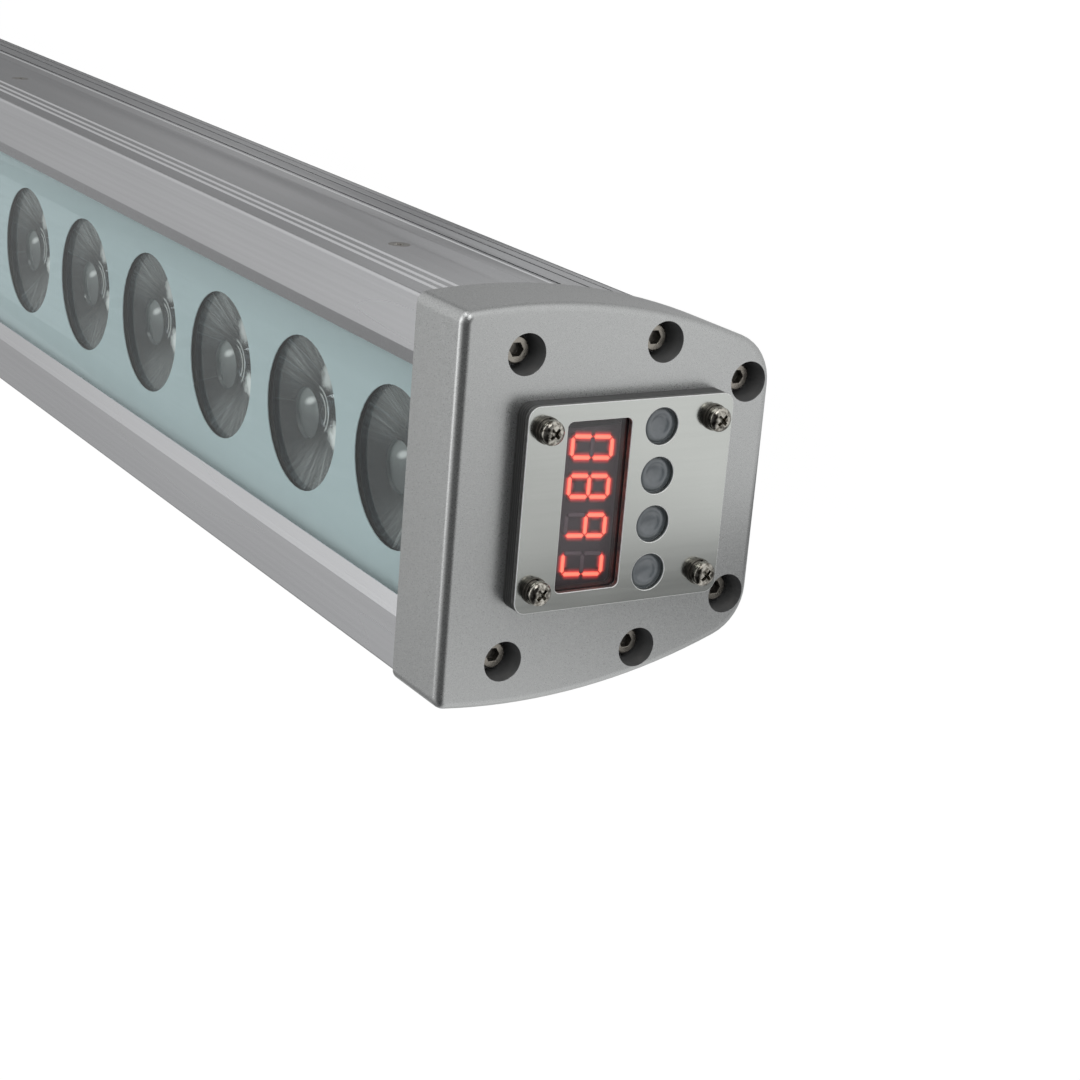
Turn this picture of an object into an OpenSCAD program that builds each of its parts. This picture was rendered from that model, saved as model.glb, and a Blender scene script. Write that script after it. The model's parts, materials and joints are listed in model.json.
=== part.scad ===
// Outdoor wall washer light: an extruded aluminium bar with a long window of lenses,
// a cast cap at each end, a control panel on one cap, cable glands on the other, and
// two tilting feet on a rail at the back. It stands on its feet with the window up.
// +X runs to the control panel, +Z is the way the light goes. Lengths are millimetres.

/* [Bar] */
// Length over both end caps
bar_len = 1000; // [700:10:1200]
// Width of the extruded bar at its crown
body_w = 76.2; // [72:0.2:84]
// Depth of the extruded bar, window face to back
body_d = 67.2; // [64:0.2:76]
// Radius of the crowned sides
side_r = 130; // [110:1:200]
// How far behind the window face the sides are widest
crown_d = 15; // [10:0.5:20]
// Radius of the edges beside the window face
body_front_r = 0.8; // [0.4:0.1:1.2]
// Radius of the two rear edges
body_back_r = 8; // [4:0.5:9]
// Thickness of the outer walls
wall_t = 2.6; // [2:0.1:3]
// Thickness of the rear wall
back_t = 3; // [2.4:0.1:3.6]

/* [Window] */
// Width of the window between the bevel's outer edges
window_w = 52.3; // [50:0.1:53]
// Width of the glass that shows inside the bevel
glass_seen_w = 45.7; // [44:0.1:47]
// Depth of the glass face below the bar's window face
glass_recess = 1.8; // [1.5:0.1:2.4]
// Thickness left at the inner edge of the bevelled lip
lip_edge_t = 0.25; // [0.2:0.05:0.4]
// Width of the glass
glass_w = 52; // [51:0.1:52.4]
// Thickness of the toughened glass
glass_t = 3; // [2.5:0.1:4]
// Thickness of the enamel printed under the glass
mask_t = 0.2; // [0.1:0.05:0.3]
// Radius of each clear circle in the print
clear_r = 16.2; // [14:0.1:16.5]
// Thickness of the seal under the glass
glass_seal_t = 1; // [0.8:0.1:1.5]
// How far the glass and the light board reach into each hollow cap
cap_reach = 3.6; // [2:0.1:6]

/* [Optics] */
// Distance between lamps
led_pitch = 40.75; // [38:0.05:44]
// Least distance from the outside of a cap to the first lamp
led_end = 31; // [30:0.5:60]
// Radius of the lens at its front
lens_front_r = 16.6; // [16:0.1:17]
// Radius of the lens at its back
lens_back_r = 6.2; // [5.5:0.1:7]
// Depth of the lens
lens_d = 17; // [15:0.5:18]
// Thickness of the lens's front rim
lens_rim_t = 1.2; // [0.8:0.1:1.6]
// Radius of the round recess in the lens's front
lens_eye_r = 4.5; // [3.5:0.1:5]
// Depth of the round recess in the lens's front
lens_eye_d = 5; // [3:0.5:6]
// Radius of the well at the lens's back, over the lamp
lens_well_r = 3.6; // [3.2:0.1:4.5]
// Depth of the well at the lens's back
lens_well_d = 7; // [5:0.5:8]
// Wall of the lens holder
holder_t = 1; // [0.8:0.1:1.2]
// Width of the light board
led_board_w = 42; // [38:1:45]
// Thickness of the light board
led_board_t = 1.6; // [1:0.1:2]
// Width of the square base of a lamp
led_w = 5; // [3.5:0.1:5.4]
// Radius of the dome on a lamp
led_dome_r = 1.9; // [1.2:0.1:2.4]
// Thickness of the shelf that carries the light board
shelf_t = 3; // [2:0.1:4]

/* [End caps] */
// Thickness of an end cap along the bar
cap_t = 17.5; // [15:0.5:22]
// How far a cap stands proud of the bar's sides
cap_side_proud = 0.9; // [0.5:0.1:1.1]
// How far a cap stands proud of the window face
cap_front_proud = 1.3; // [1:0.1:2]
// How far a cap stands proud of the bar's back
cap_back_proud = 1; // [0.8:0.1:1.5]
// Radius of a cap's corners beside the window face
cap_front_r = 2.4; // [2:0.1:3.2]
// Radius of a cap's rear corners
cap_back_r = 10.5; // [7:0.5:11]
// Rounding of a cap's outer edge
cap_edge_r = 1.8; // [1:0.1:2.2]
// Wall of a cap's casting
cap_wall = 3; // [2.8:0.1:3.2]
// Thickness of a cap's outer face
cap_face_t = 3.5; // [3:0.1:4.5]
// Thickness of the seal between a cap and the bar
cap_seal_t = 0.8; // [0.5:0.1:1.2]
// Radius of the counterbores for the cap screws
cbore_r = 4; // [3.4:0.1:4.2]
// Depth of a screw's head below a cap's face
cbore_sink = 3.8; // [2:0.1:5]
// Radius of a cap screw's thread
cap_screw_r = 1.5; // [1.2:0.1:1.8]
// Radius of a cap screw's head
cap_head_r = 2.75; // [2.4:0.05:3.1]
// Height of a cap screw's head
cap_head_h = 3; // [2:0.1:3.6]
// How far a cap screw threads into the bar
cap_screw_bite = 12; // [8:0.5:20]

/* [Control panel] */
// Size of the panel across the bar
panel_w = 40; // [38:0.5:44]
// Size of the panel from window side to back
panel_h = 45.4; // [44:0.2:47]
// How far the panel sits off the bar's middle plane
panel_off = 1; // [-1:0.1:1.5]
// Distance from the bar's window face to the middle of the panel, as a share of the bar's depth
panel_share = 0.5075; // [0.499:0.0005:0.513]
// Radius of the panel's corners
panel_r = 2.5; // [1.5:0.1:3]
// Thickness of the steel panel
panel_t = 1.2; // [0.8:0.1:1.5]
// Thickness of the rubber under the panel
panel_seal_t = 3; // [2.5:0.1:3.5]
// Length of the display opening across the bar
opening_w = 33.2; // [33:0.1:34]
// Width of the display opening
opening_h = 14; // [13:0.1:14.4]
// Radius of the display opening's corners
opening_r = 1.2; // [0.5:0.1:1.5]
// Distance of the display opening from the panel's middle, towards the window side
opening_off = 7.1; // [6.5:0.1:7.5]
// Thickness of the clear pane under the panel
pane_t = 1; // [0.8:0.1:1.2]
// Radius of a button hole
button_hole_r = 3.65; // [3:0.05:3.8]
// Distance between buttons
button_pitch = 9.6; // [9.2:0.1:10]
// Distance of the buttons from the panel's middle, towards the back
button_off = 6.65; // [6:0.05:7]
// Travel of a button
button_travel = 0.6; // [0.3:0.1:0.8]
// Depth of a button's top below the panel's face
button_sink = 0.8; // [0.3:0.1:1]

/* [Display] */
// Height of a digit
digit_h = 9.6; // [8:0.1:10]
// Width of a digit
digit_w = 5; // [4:0.1:5.6]
// Distance between digits
digit_pitch = 7.65; // [7:0.05:7.8]
// Width of a segment
segment_w = 0.9; // [0.7:0.05:1.2]
// Lean of the digits in degrees
digit_lean = 5; // [0:1:10]
// Length of the display module
module_w = 31; // [30.2:0.1:31.2]
// Height of the display module
module_h = 13.6; // [12:0.1:14]
// Thickness of the display module
module_t = 7.2; // [6:0.1:8]
// Distance of the module from the middle of its opening, across the bar
module_side = 1.2; // [0.8:0.05:1.25]
// Distance of the module from the middle of its opening, towards the back
module_back = 1; // [0.6:0.05:1.2]

/* [Glands] */
// Radius of a gland's thread, as a share of the bar's width
gland_share = 0.105; // [0.1:0.001:0.114]
// Radius of the cable hole in a gland's rubber insert
cable_r = 3.6; // [2.5:0.1:4.5]
// Distance of each gland from the bar's middle plane, as a share of the bar's width
gland_off_share = 0.184; // [0.172:0.001:0.196]

/* [Feet] */
// Height of the bar's back above the ground
stand_h = 34; // [32:1:50]
// Height of the tilt axis above the ground
pivot_h = 14; // [13:0.5:15]
// Distance of each foot from the middle of the bar, as a share of its length
foot_share = 0.25; // [0.2:0.01:0.35]
// Thickness of the folded steel
strap_t = 2.5; // [2:0.1:3]
// Gap between the ears of a saddle
saddle_gap = 32; // [31:0.5:36]
// Width of a saddle's ears
saddle_w = 18; // [16:0.5:19]
// Reach of a foot on its long side
foot_long = 36; // [32:0.5:38]
// Reach of a foot on its short side
foot_short = 12; // [11:0.5:12.5]
// Radius of the screw holes in a foot
foot_hole_r = 3.25; // [2.5:0.05:3.5]
// Distance between the two screw holes in a foot
foot_hole_pitch = 24; // [20:0.5:28]
// Distance of the screw holes from the tilt axis
foot_hole_off = 24; // [21:0.5:26]
// Radius of the pivot bolts and rail bolts
bolt_r = 3; // [2.5:0.1:3.1]

/* [Hidden] */
$fn = 64;
over = 1;
touch_gap = 0.1;
fit_gap = 0.1;

// Heights: the ground is z = 0, and section drawings take the window face as y = 0
face_z = stand_h + body_d;
bolt_af = bolt_r * 10 / 3;
bolt_head_h = bolt_r * 4 / 3;
bolt_nut_h = bolt_r * 5 / 3;
bolt_washer_t = bolt_r * 0.4;
bolt_washer_r = bolt_r * 2;
hex_share = 2 / sqrt(3);
panel_d = panel_share * body_d;

// Stack on the control panel, outward from the display cap's face
panel_face = panel_seal_t + panel_t;
washer_t = 0.5;
washer_r = 2.6;
spring_t = 0.8;
spring_r = 2.45;
spring_slot = 0.6;
panel_screw_r = 1.25;
panel_head_r = 2.4;
panel_head_h = 1.8;
panel_reach = panel_face + washer_t + spring_t + panel_head_h;
panel_screw_front = 4.05;
panel_screw_back = 4.35;
panel_screw_side = 4.55;

// Stack of a cable gland, outward from the cable cap's face
gland_r = gland_share * body_w;
gland_off = gland_off_share * body_w;
gland_af_share = 2.5;
gland_af = gland_r * gland_af_share;
gland_washer_t = 1.2;
gland_hex_h = 5;
gland_nut_h = 8;
gland_dome_h = 7;
gland_dome_r = 6.6;
gland_lock_h = 4;
gland_reach = gland_washer_t + gland_hex_h + gland_nut_h + gland_dome_h;
gland_bore_r = 5.4;
gland_thread_wall = 1.2;
gland_hex_r = gland_af / 2 * hex_share;
gland_d = panel_d;

// Places along the bar, with the whole part's box centred on x = 0
bar_mid = (gland_reach - panel_reach) / 2;
end_x = bar_len / 2;
body_end = cap_t + cap_seal_t;
body_len = bar_len - 2 * body_end;
glass_len = body_len + 2 * cap_reach;
led_count = floor((bar_len - 2 * led_end) / led_pitch) + 1;
led_span = (led_count - 1) * led_pitch;
led_xs = [for (i = [0:led_count - 1]) bar_mid - led_span / 2 + i * led_pitch];

// Outline of the bar: half width, side radius, front, back, front corner, rear corner
body_line = [body_w / 2, side_r, 0, -body_d, body_front_r, body_back_r];
cap_line = [
    body_w / 2 + cap_side_proud,
    side_r + cap_side_proud,
    cap_front_proud,
    -body_d - cap_back_proud,
    cap_front_r,
    cap_back_r
];
grow_step = [1, 1, 1, -1, 1, 1];
least_r = 0.2;

// Levels inside the bar, downward from the window face
glass_z = -glass_recess;
mask_z = glass_z - glass_t;
seal_z = mask_z - mask_t;
ledge_z = seal_z - glass_seal_t;
lens_gap = 0.8;
holder_z = seal_z - lens_gap;
lens_sink = 0.4;
lens_z = holder_z - lens_sink;
lens_foot_gap = 1.8;
board_z = lens_z - lens_d - lens_foot_gap;
shelf_z = board_z - led_board_t;
rear_z = shelf_z - shelf_t;
slot_side_gap = 0.3;
slot_half = glass_w / 2 + slot_side_gap;
chamber_half = glass_seen_w / 2 + slot_side_gap;
chamber_wall = 2;

// Screw posts: places on the section as shares of the half width and the depth
post_shares = [[0.78, 0.186], [0.8, 0.635], [0.567, 0.9345]];
posts = [for (p = post_shares) [p[0] * body_w / 2, -p[1] * body_d]];
post_r = 3.4;
thread_share = 0.9;
thread_gap = 0.01;
thread_hole_r = cap_screw_r * thread_share;
cap_post_wall = 1.8;
cap_post_r = cbore_r + cap_post_wall;
screw_gap = 0.2;
cap_clear_r = cap_screw_r + screw_gap;

// Lines along the bar's sides, as shares of its depth
vee_shares = [0.064, 0.095, 0.131, 0.458];
vee_w = 0.9;
vee_d = 0.55;
slot_shares = [0.488, 0.603, 0.71, 0.815];
slot_w = 0.9;
slot_d = 1.1;
flute_shares = [[0.271, 0.381], [0.495, 0.593], [0.612, 0.7], [0.722, 0.805]];
flute_d = 0.65;
side_screw_share = 0.235;
side_screw_r = 1.05;
side_head_r = 2.25;
side_head_h = 1.2;
side_screw_len = 8;
side_screw_inset = 57;
side_screw_count = 5;
side_screw_pitch = (bar_len - 2 * side_screw_inset) / (side_screw_count - 1);
side_rib_t = 4;

// Rail on the back
rail_gap = 0.3;
rail_slot_w = 2 * (bolt_r + rail_gap);
rail_lip_t = 2;
rail_room = 1;
rail_cavity_w = bolt_af + 2 * rail_gap;
rail_cavity_h = bolt_head_h + rail_room;
rail_wall = 2;
rail_top = rail_lip_t + rail_cavity_h + rail_wall;

// Control board behind the display cap's face
board_t = 1.6;
digit_gap = 2;
module_face = panel_seal_t - pane_t - digit_gap;
board_face = module_face - module_t;
switch_w = 6;
switch_h = 3.5;
plunger_r = 1.75;
plunger_sink = 0.9;
plunger_out = 1.5;
button_flange_r = 4.3;
button_flange_t = 0.8;
button_r = button_hole_r - fit_gap;
button_stem_r = 1.6;
button_ring_r = 2.5;
button_ring_w = 0.6;
button_ring_d = 0.25;
button_seat_gap = 0.3;
button_seat_r = button_flange_r + button_seat_gap;
pane_lap = 1;
cut_gap = 0.5;
cut_front = opening_off + opening_h / 2 + cut_gap;
cut_back = button_off + button_seat_r + cut_gap;
cut_w = opening_w + 2 * cut_gap;
board_post_r = 2.2;
board_post_edge = 2.5;
board_h_front = cut_front + 2 * board_post_edge;
board_h_back = cut_back + 2 * board_post_edge;
board_w = cut_w + 2 * cut_gap;
board_post_share = 0.33;
board_screw_r = 1;
board_head_r = 1.9;
board_head_h = 1.3;
tile_t = 0.1;
segment_gap = 0.15;
dot_r = 0.5;

// Power parts in the rear of the bar
supply_len_share = 0.24;
supply_w = 46;
supply_h_share = 0.75;
rear_room = rear_z + body_d - rail_top;
supply_h = rear_room * supply_h_share;
supply_start_share = 0.23;
driver_len_share = 0.14;
driver_len = driver_len_share * bar_len;
driver_start_share = 0.06;
driver_w = 46;
driver_legs = 4;

// Brackets
foot_x = foot_share * bar_len;
axis_z = pivot_h;
ear_in = saddle_gap / 2;
ear_out = ear_in + strap_t;
tilt_washer_t = 1;
tilt_washer_r = 8;
foot_in = ear_out + tilt_washer_t + touch_gap;
foot_out = foot_in + strap_t;
foot_ear_r = 8.5;
rail_bolt_off = 8.5;
rail_bolt_tail = 1.3;
saddle_plate_w = 24;
pivot_nut_h = 2 * bolt_r;
pivot_tail = 1.5;
pivot_gap = 0.08;
pivot_clear_r = bolt_r + pivot_gap;

// Which of the seven segments show on each digit: top, upper right, lower right,
// bottom, lower left, upper left, middle
shown = [[1, 0, 0, 1, 1, 1, 0], [0, 0, 1, 1, 1, 1, 1], [1, 1, 1, 1, 1, 1, 1], [1, 1, 1, 1, 1, 1, 0]];

// Outline functions: the corners' centres, then the arcs' points round from the back
function grown(line, g) = [
    for (i = [0:5]) i < 4 ? line[i] + g * grow_step[i] : max(line[i] + g, least_r)
];
function side_c(s) = [s[0] - s[1], -crown_d];
function corner(s, level, r) = [
    side_c(s)[0] + sqrt(pow(s[1] - r, 2) - pow(level + crown_d, 2)), level
];
function front_c(s) = corner(s, s[2] - s[4], s[4]);
function back_c(s) = corner(s, s[3] + s[5], s[5]);
function heading(from, to) = atan2(to[1] - from[1], to[0] - from[0]);
function arc(c, r, a0, a1, n) = [
    for (i = [0:n]) let (a = a0 + (a1 - a0) * i / n) c + r * [cos(a), sin(a)]
];
function side_y(s, z) = s[0] - s[1] + sqrt(pow(s[1], 2) - pow(z + crown_d, 2));
function mirrored(points) = [
    for (i = [len(points) - 1:-1:0]) [-points[i][0], points[i][1]]
];
function half_points(s) = concat(
    arc(back_c(s), s[5], -90, heading(side_c(s), back_c(s)), 8),
    arc(side_c(s), s[1], heading(side_c(s), back_c(s)), heading(side_c(s), front_c(s)), 18),
    arc(front_c(s), s[4], heading(side_c(s), front_c(s)), 90, 6)
);
function line_points(s) = concat(half_points(s), mirrored(half_points(s)));

module bar_shape(s) polygon(line_points(s));

// A section drawn in (y, z), from x0 to x1
module along(x0, x1) {
    translate([x0, 0, face_z]) rotate([90, 0, 90]) linear_extrude(x1 - x0) children();
}

module rod_x(y, z, x0, x1, r) {
    translate([x0, y, face_z + z]) rotate([0, 90, 0]) cylinder(h = x1 - x0, r = r);
}

module block(x0, x1, y0, y1, z0, z1) {
    translate([x0, y0, z0]) cube([x1 - x0, y1 - y0, z1 - z0]);
}

module round_rect(w, h, r) {
    square([w - 2 * r, h], center = true);
    square([w, h - 2 * r], center = true);
    for (a = [-1, 1], b = [-1, 1]) translate([a * (w / 2 - r), b * (h / 2 - r)]) circle(r = r);
}

module both_sides() {
    children();
    mirror([0, 1, 0]) children();
}

// Ends of the bar: x = 0 at a cap's outer face, +x outward
module at_display_end() {
    translate([bar_mid + end_x, 0, 0]) children();
}

module at_cable_end() {
    translate([bar_mid - end_x, 0, 0]) mirror([1, 0, 0]) children();
}

module at_posts() {
    for (side = [0, 1]) mirror([side, 0]) for (p = posts) translate(p) children();
}

// Housing

module side_lines() {
    for (share = vee_shares) {
        z = -share * body_d;
        y = side_y(body_line, z);
        polygon([[y + vee_w, z + 1.5 * vee_w], [y - vee_d, z], [y + vee_w, z - 1.5 * vee_w]]);
    }
    for (share = slot_shares) {
        z = -share * body_d;
        translate([side_y(body_line, z) - slot_d, z - slot_w / 2]) square([slot_d + over, slot_w]);
    }
    for (f = flute_shares) {
        top = -f[0] * body_d;
        low = -f[1] * body_d;
        y_top = side_y(body_line, top);
        y_low = side_y(body_line, low);
        polygon([[y_top - flute_d, top], [y_top + over, top], [y_low + over, low], [y_low, low]]);
    }
}

module side_pocket() {
    rib_z = -side_screw_share * body_d;
    difference() {
        intersection() {
            bar_shape(grown(body_line, -wall_t));
            translate([slot_half + chamber_wall, shelf_z + shelf_t]) square([body_w, -shelf_z - shelf_t - wall_t]);
        }
        at_posts() circle(r = post_r);
        translate([0, rib_z - side_rib_t / 2]) square([body_w, side_rib_t]);
    }
}

module rear_chamber() {
    difference() {
        intersection() {
            bar_shape(grown(body_line, -wall_t));
            translate([-body_w, -body_d + back_t]) square([2 * body_w, rear_z + body_d - back_t]);
        }
        at_posts() circle(r = post_r);
        translate([-rail_cavity_w / 2 - rail_wall, -body_d]) square([rail_cavity_w + 2 * rail_wall, rail_top]);
    }
}

module window_cut() {
    bevel_end = glass_z + lip_edge_t;
    polygon([
        [window_w / 2, 0], [window_w / 2, over], [-window_w / 2, over], [-window_w / 2, 0],
        [-glass_seen_w / 2, bevel_end], [glass_seen_w / 2, bevel_end]
    ]);
    translate([-glass_seen_w / 2, glass_z]) square([glass_seen_w, lip_edge_t + over]);
    translate([-slot_half, ledge_z]) square([2 * slot_half, glass_z - ledge_z]);
    translate([-chamber_half, shelf_z]) square([2 * chamber_half, glass_z - shelf_z]);
}

module body_section() {
    difference() {
        bar_shape(body_line);
        window_cut();
        side_pocket();
        mirror([1, 0]) side_pocket();
        rear_chamber();
        side_lines();
        mirror([1, 0]) side_lines();
        at_posts() circle(r = thread_hole_r);
        translate([-rail_slot_w / 2, -body_d - over]) square([rail_slot_w, rail_lip_t + 2 * over]);
        translate([-rail_cavity_w / 2, -body_d + rail_lip_t]) square([rail_cavity_w, rail_cavity_h]);
    }
}

module at_side_screws() {
    z = -side_screw_share * body_d;
    both_sides() for (i = [0:side_screw_count - 1]) {
        x = bar_mid - end_x + side_screw_inset + i * side_screw_pitch;
        translate([x, side_y(body_line, z), face_z + z]) rotate([-90, 0, 0]) children();
    }
}

module main_extrusion() color("silver") difference() {
    along(bar_mid - body_len / 2, bar_mid + body_len / 2) body_section();
    at_side_screws() {
        translate([0, 0, -side_screw_len]) cylinder(h = side_screw_len + over, r = side_screw_r);
        translate([0, 0, -side_head_h]) cylinder(h = side_head_h, r1 = side_screw_r, r2 = side_head_r);
        cylinder(h = over, r = side_head_r);
    }
    at_board_screws() translate([0, 0, -led_board_t - shelf_t / 2]) cylinder(h = shelf_t, r = cap_screw_r);
}

module side_screws() color("gainsboro") at_side_screws() difference() {
    union() {
        translate([0, 0, -side_screw_len]) cylinder(h = side_screw_len, r = side_screw_r);
        translate([0, 0, -side_head_h]) cylinder(h = side_head_h, r1 = side_screw_r, r2 = side_head_r);
    }
    for (turn = [0, 90]) rotate([0, 0, turn])
        translate([-side_screw_r, -side_screw_r / 4, -side_head_h]) cube([2 * side_screw_r, side_screw_r / 2, side_head_h]);
}

// Window and optics

module front_glass() color("lightcyan", 0.4) translate([bar_mid, 0, face_z + mask_z])
    translate([-glass_len / 2, -glass_w / 2, 0]) cube([glass_len, glass_w, glass_t]);

module glass_mask() color("lightsteelblue") difference() {
    translate([bar_mid - glass_len / 2, -glass_w / 2, face_z + seal_z]) cube([glass_len, glass_w, mask_t]);
    for (x = led_xs) translate([x, 0, face_z + seal_z - over]) cylinder(h = mask_t + 2 * over, r = clear_r);
}

module glass_seals() color("dimgray") both_sides()
    block(bar_mid - body_len / 2, bar_mid + body_len / 2, chamber_half, glass_w / 2, face_z + ledge_z, face_z + seal_z);

module led_board() color("white") difference() {
    block(
        bar_mid - glass_len / 2, bar_mid + glass_len / 2, -led_board_w / 2, led_board_w / 2,
        face_z + shelf_z, face_z + board_z
    );
    at_board_screws() translate([0, 0, -led_board_t - over]) cylinder(h = led_board_t + 2 * over, r = cap_clear_r);
}

// Board screws stand between every third pair of lamps, near the board's edges
board_screw_step = 3;
board_screw_share = 0.38;
module at_board_screws() {
    both_sides() for (i = [0:board_screw_step:led_count - 2])
        translate([led_xs[i] + led_pitch / 2, board_screw_share * led_board_w, face_z + board_z]) children();
}

module led_board_screws() color("gainsboro") at_board_screws() difference() {
    union() {
        cylinder(h = cap_head_h / 2, r = cap_head_r);
        translate([0, 0, -led_board_t - shelf_t / 2]) cylinder(h = led_board_t + shelf_t / 2, r = cap_screw_r);
    }
    for (turn = [0, 90]) rotate([0, 0, turn])
        translate([-cap_screw_r, -cap_screw_r / 4, cap_head_h / 4]) cube([2 * cap_screw_r, cap_screw_r / 2, cap_head_h]);
}

led_base_t = 1;
module leds() color("khaki") for (x = led_xs) translate([x, 0, face_z + board_z]) {
    translate([-led_w / 2, -led_w / 2, 0]) cube([led_w, led_w, led_base_t]);
    translate([0, 0, led_base_t]) intersection() {
        sphere(r = led_dome_r);
        cylinder(h = led_dome_r, r = led_dome_r);
    }
}

// The lens is a paraboloid of plastic: the depth below its rim goes with the radius squared
lens_steps = 7;
function lens_wall(grow) = [
    for (i = [0:lens_steps])
    let (s = i / lens_steps)
        [sqrt(pow(lens_front_r, 2) - s * (pow(lens_front_r, 2) - pow(lens_back_r, 2))) + grow,
         -lens_rim_t - s * (lens_d - lens_rim_t)]
];
eye_draft = 0.8;
module tir_lenses() color("lightgray", 0.6) for (x = led_xs) translate([x, 0, face_z + lens_z]) rotate_extrude()
    polygon(concat(
        [[lens_eye_r, 0], [lens_front_r, 0]],
        lens_wall(0),
        [[lens_well_r, -lens_d], [lens_well_r - eye_draft, -lens_d + lens_well_d], [0, -lens_d + lens_well_d]],
        [[0, -lens_eye_d], [lens_eye_r - eye_draft, -lens_eye_d]]
    ));

holder_gap = 0.12;
holder_foot_r = lens_back_r + holder_gap + holder_t;
module lens_holders() color([0.2, 0.2, 0.22]) for (x = led_xs) translate([x, 0, face_z + lens_z]) rotate_extrude()
    polygon(concat(
        [[lens_front_r + holder_gap, lens_sink], [lens_front_r + holder_gap, -lens_rim_t]],
        [for (p = lens_wall(holder_gap)) [p[0], p[1] - holder_gap]],
        [[lens_back_r + holder_gap, -lens_d - lens_foot_gap], [holder_foot_r, -lens_d - lens_foot_gap]],
        [for (i = [lens_steps:-1:0]) let (p = lens_wall(holder_gap + holder_t)[i]) [p[0], p[1] - holder_gap - holder_t / 2]],
        [[lens_front_r + holder_gap + holder_t, lens_sink]]
    ));

// End caps

// Outer form of a cap: rings of the outline, drawn in towards the outer face for a round edge
edge_step_count = 5;
edge_turns = [for (i = [0:edge_step_count]) 90 * i / edge_step_count];
ring_places = concat([[-cap_t, 0]], [
    for (a = edge_turns) [-cap_edge_r * (1 - sin(a)), -cap_edge_r * (1 - cos(a))]
]);
ring_count = len(ring_places);
ring_size = len(line_points(cap_line));
module cap_form() translate([0, 0, face_z]) polyhedron(
    points = [for (ring = ring_places, p = line_points(grown(cap_line, ring[1]))) [ring[0], p[0], p[1]]],
    faces = concat(
        [[for (j = [0:ring_size - 1]) j]],
        [for (i = [0:ring_count - 2], j = [0:ring_size - 1]) let (k = (j + 1) % ring_size)
            [i * ring_size + j, (i + 1) * ring_size + j, (i + 1) * ring_size + k, i * ring_size + k]],
        [[for (j = [ring_size - 1:-1:0]) (ring_count - 1) * ring_size + j]]
    )
);

// Room inside a cap, less the round posts and the webs that tie them to the side walls
module cap_hollow() difference() {
    bar_shape(grown(cap_line, -cap_wall));
    at_posts() {
        circle(r = cap_post_r);
        translate([0, -cap_post_r / 2]) square([cap_post_r + cap_wall, cap_post_r]);
    }
}

module cap_casting() difference() {
    cap_form();
    along(-cap_t - over, -cap_face_t) cap_hollow();
    for (side = [-1, 1], p = posts) {
        rod_x(side * p[0], p[1], -cap_t - over, over, cap_clear_r);
        rod_x(side * p[0], p[1], -cbore_sink - cap_head_h, over, cbore_r);
    }
}

module cap_seal() along(-cap_t - cap_seal_t, -cap_t) difference() {
    bar_shape(grown(body_line, -cap_side_proud));
    cap_hollow();
    translate([-slot_half, ledge_z]) square([2 * slot_half, -ledge_z + over]);
    at_posts() circle(r = cap_clear_r);
}

socket_af = 2.5;
socket_d = 1.6;
head_bevel = 0.3;
module cap_screw_set() for (side = [-1, 1], p = posts)
    translate([-cbore_sink, side * p[0], face_z + p[1]]) rotate([0, 90, 0]) difference() {
        union() {
            translate([0, 0, -cap_head_h]) cylinder(h = cap_head_h - head_bevel, r = cap_head_r);
            translate([0, 0, -head_bevel]) cylinder(h = head_bevel, r1 = cap_head_r, r2 = cap_head_r - head_bevel);
            translate([0, 0, cbore_sink - body_end - cap_screw_bite])
                cylinder(h = body_end + cap_screw_bite - cbore_sink - cap_head_h, r = thread_hole_r - thread_gap);
        }
        translate([0, 0, -socket_d]) cylinder(h = socket_d + over, r = socket_af / 2 * hex_share, $fn = 6);
    }

// Places on the control panel: y across the bar, z from the window face
panel_z = -panel_d;
module at_panel() translate([panel_off, panel_z]) children();

button_ys = [for (i = [3:-1:0]) panel_off + (i - 1.5) * button_pitch];
button_z = panel_z - button_off;
panel_screw_ys = [panel_off - panel_w / 2 + panel_screw_side, panel_off + panel_w / 2 - panel_screw_side];
panel_screw_zs = [panel_z - panel_h / 2 + panel_screw_back, panel_z + panel_h / 2 - panel_screw_front];

module panel_cut() at_panel() translate([0, (cut_front - cut_back) / 2])
    square([cut_w, cut_front + cut_back], center = true);

board_post_ys = [panel_off - board_post_share * board_w, panel_off + board_post_share * board_w];
board_post_zs = [panel_z - cut_back - board_post_edge, panel_z + cut_front + board_post_edge];

module display_end_cap() color("darkgray") at_display_end() {
    difference() {
        union() {
            cap_casting();
            for (y = board_post_ys, z = board_post_zs) rod_x(y, z, board_face, -cap_face_t, board_post_r);
        }
        along(-cap_face_t - over, over) panel_cut();
        for (y = panel_screw_ys, z = panel_screw_zs) rod_x(y, z, -cap_face_t - over, over, panel_screw_r);
        for (y = board_post_ys, z = board_post_zs) rod_x(y, z, board_face - over, -cap_face_t, board_screw_r);
    }
}

module display_cap_seal() color([0.15, 0.15, 0.15]) at_display_end() cap_seal();

module display_cap_screws() color("dimgray") at_display_end() cap_screw_set();

module cable_end_cap() color("darkgray") at_cable_end() difference() {
    cap_casting();
    for (side = [-1, 1]) rod_x(side * gland_off, -gland_d, -cap_face_t - over, over, gland_r + fit_gap);
}

module cable_cap_seal() color([0.15, 0.15, 0.15]) at_cable_end() cap_seal();

module cable_cap_screws() color("dimgray") at_cable_end() cap_screw_set();

// Control panel, from the board out to the screws

module control_board() color("darkgreen") at_display_end() difference() {
    along(board_face - board_t, board_face) at_panel() translate([0, (board_h_front - board_h_back) / 2])
        square([board_w, board_h_front + board_h_back], center = true);
    for (y = board_post_ys, z = board_post_zs) rod_x(y, z, board_face - board_t - over, board_face + over, board_screw_r + fit_gap);
}

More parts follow.
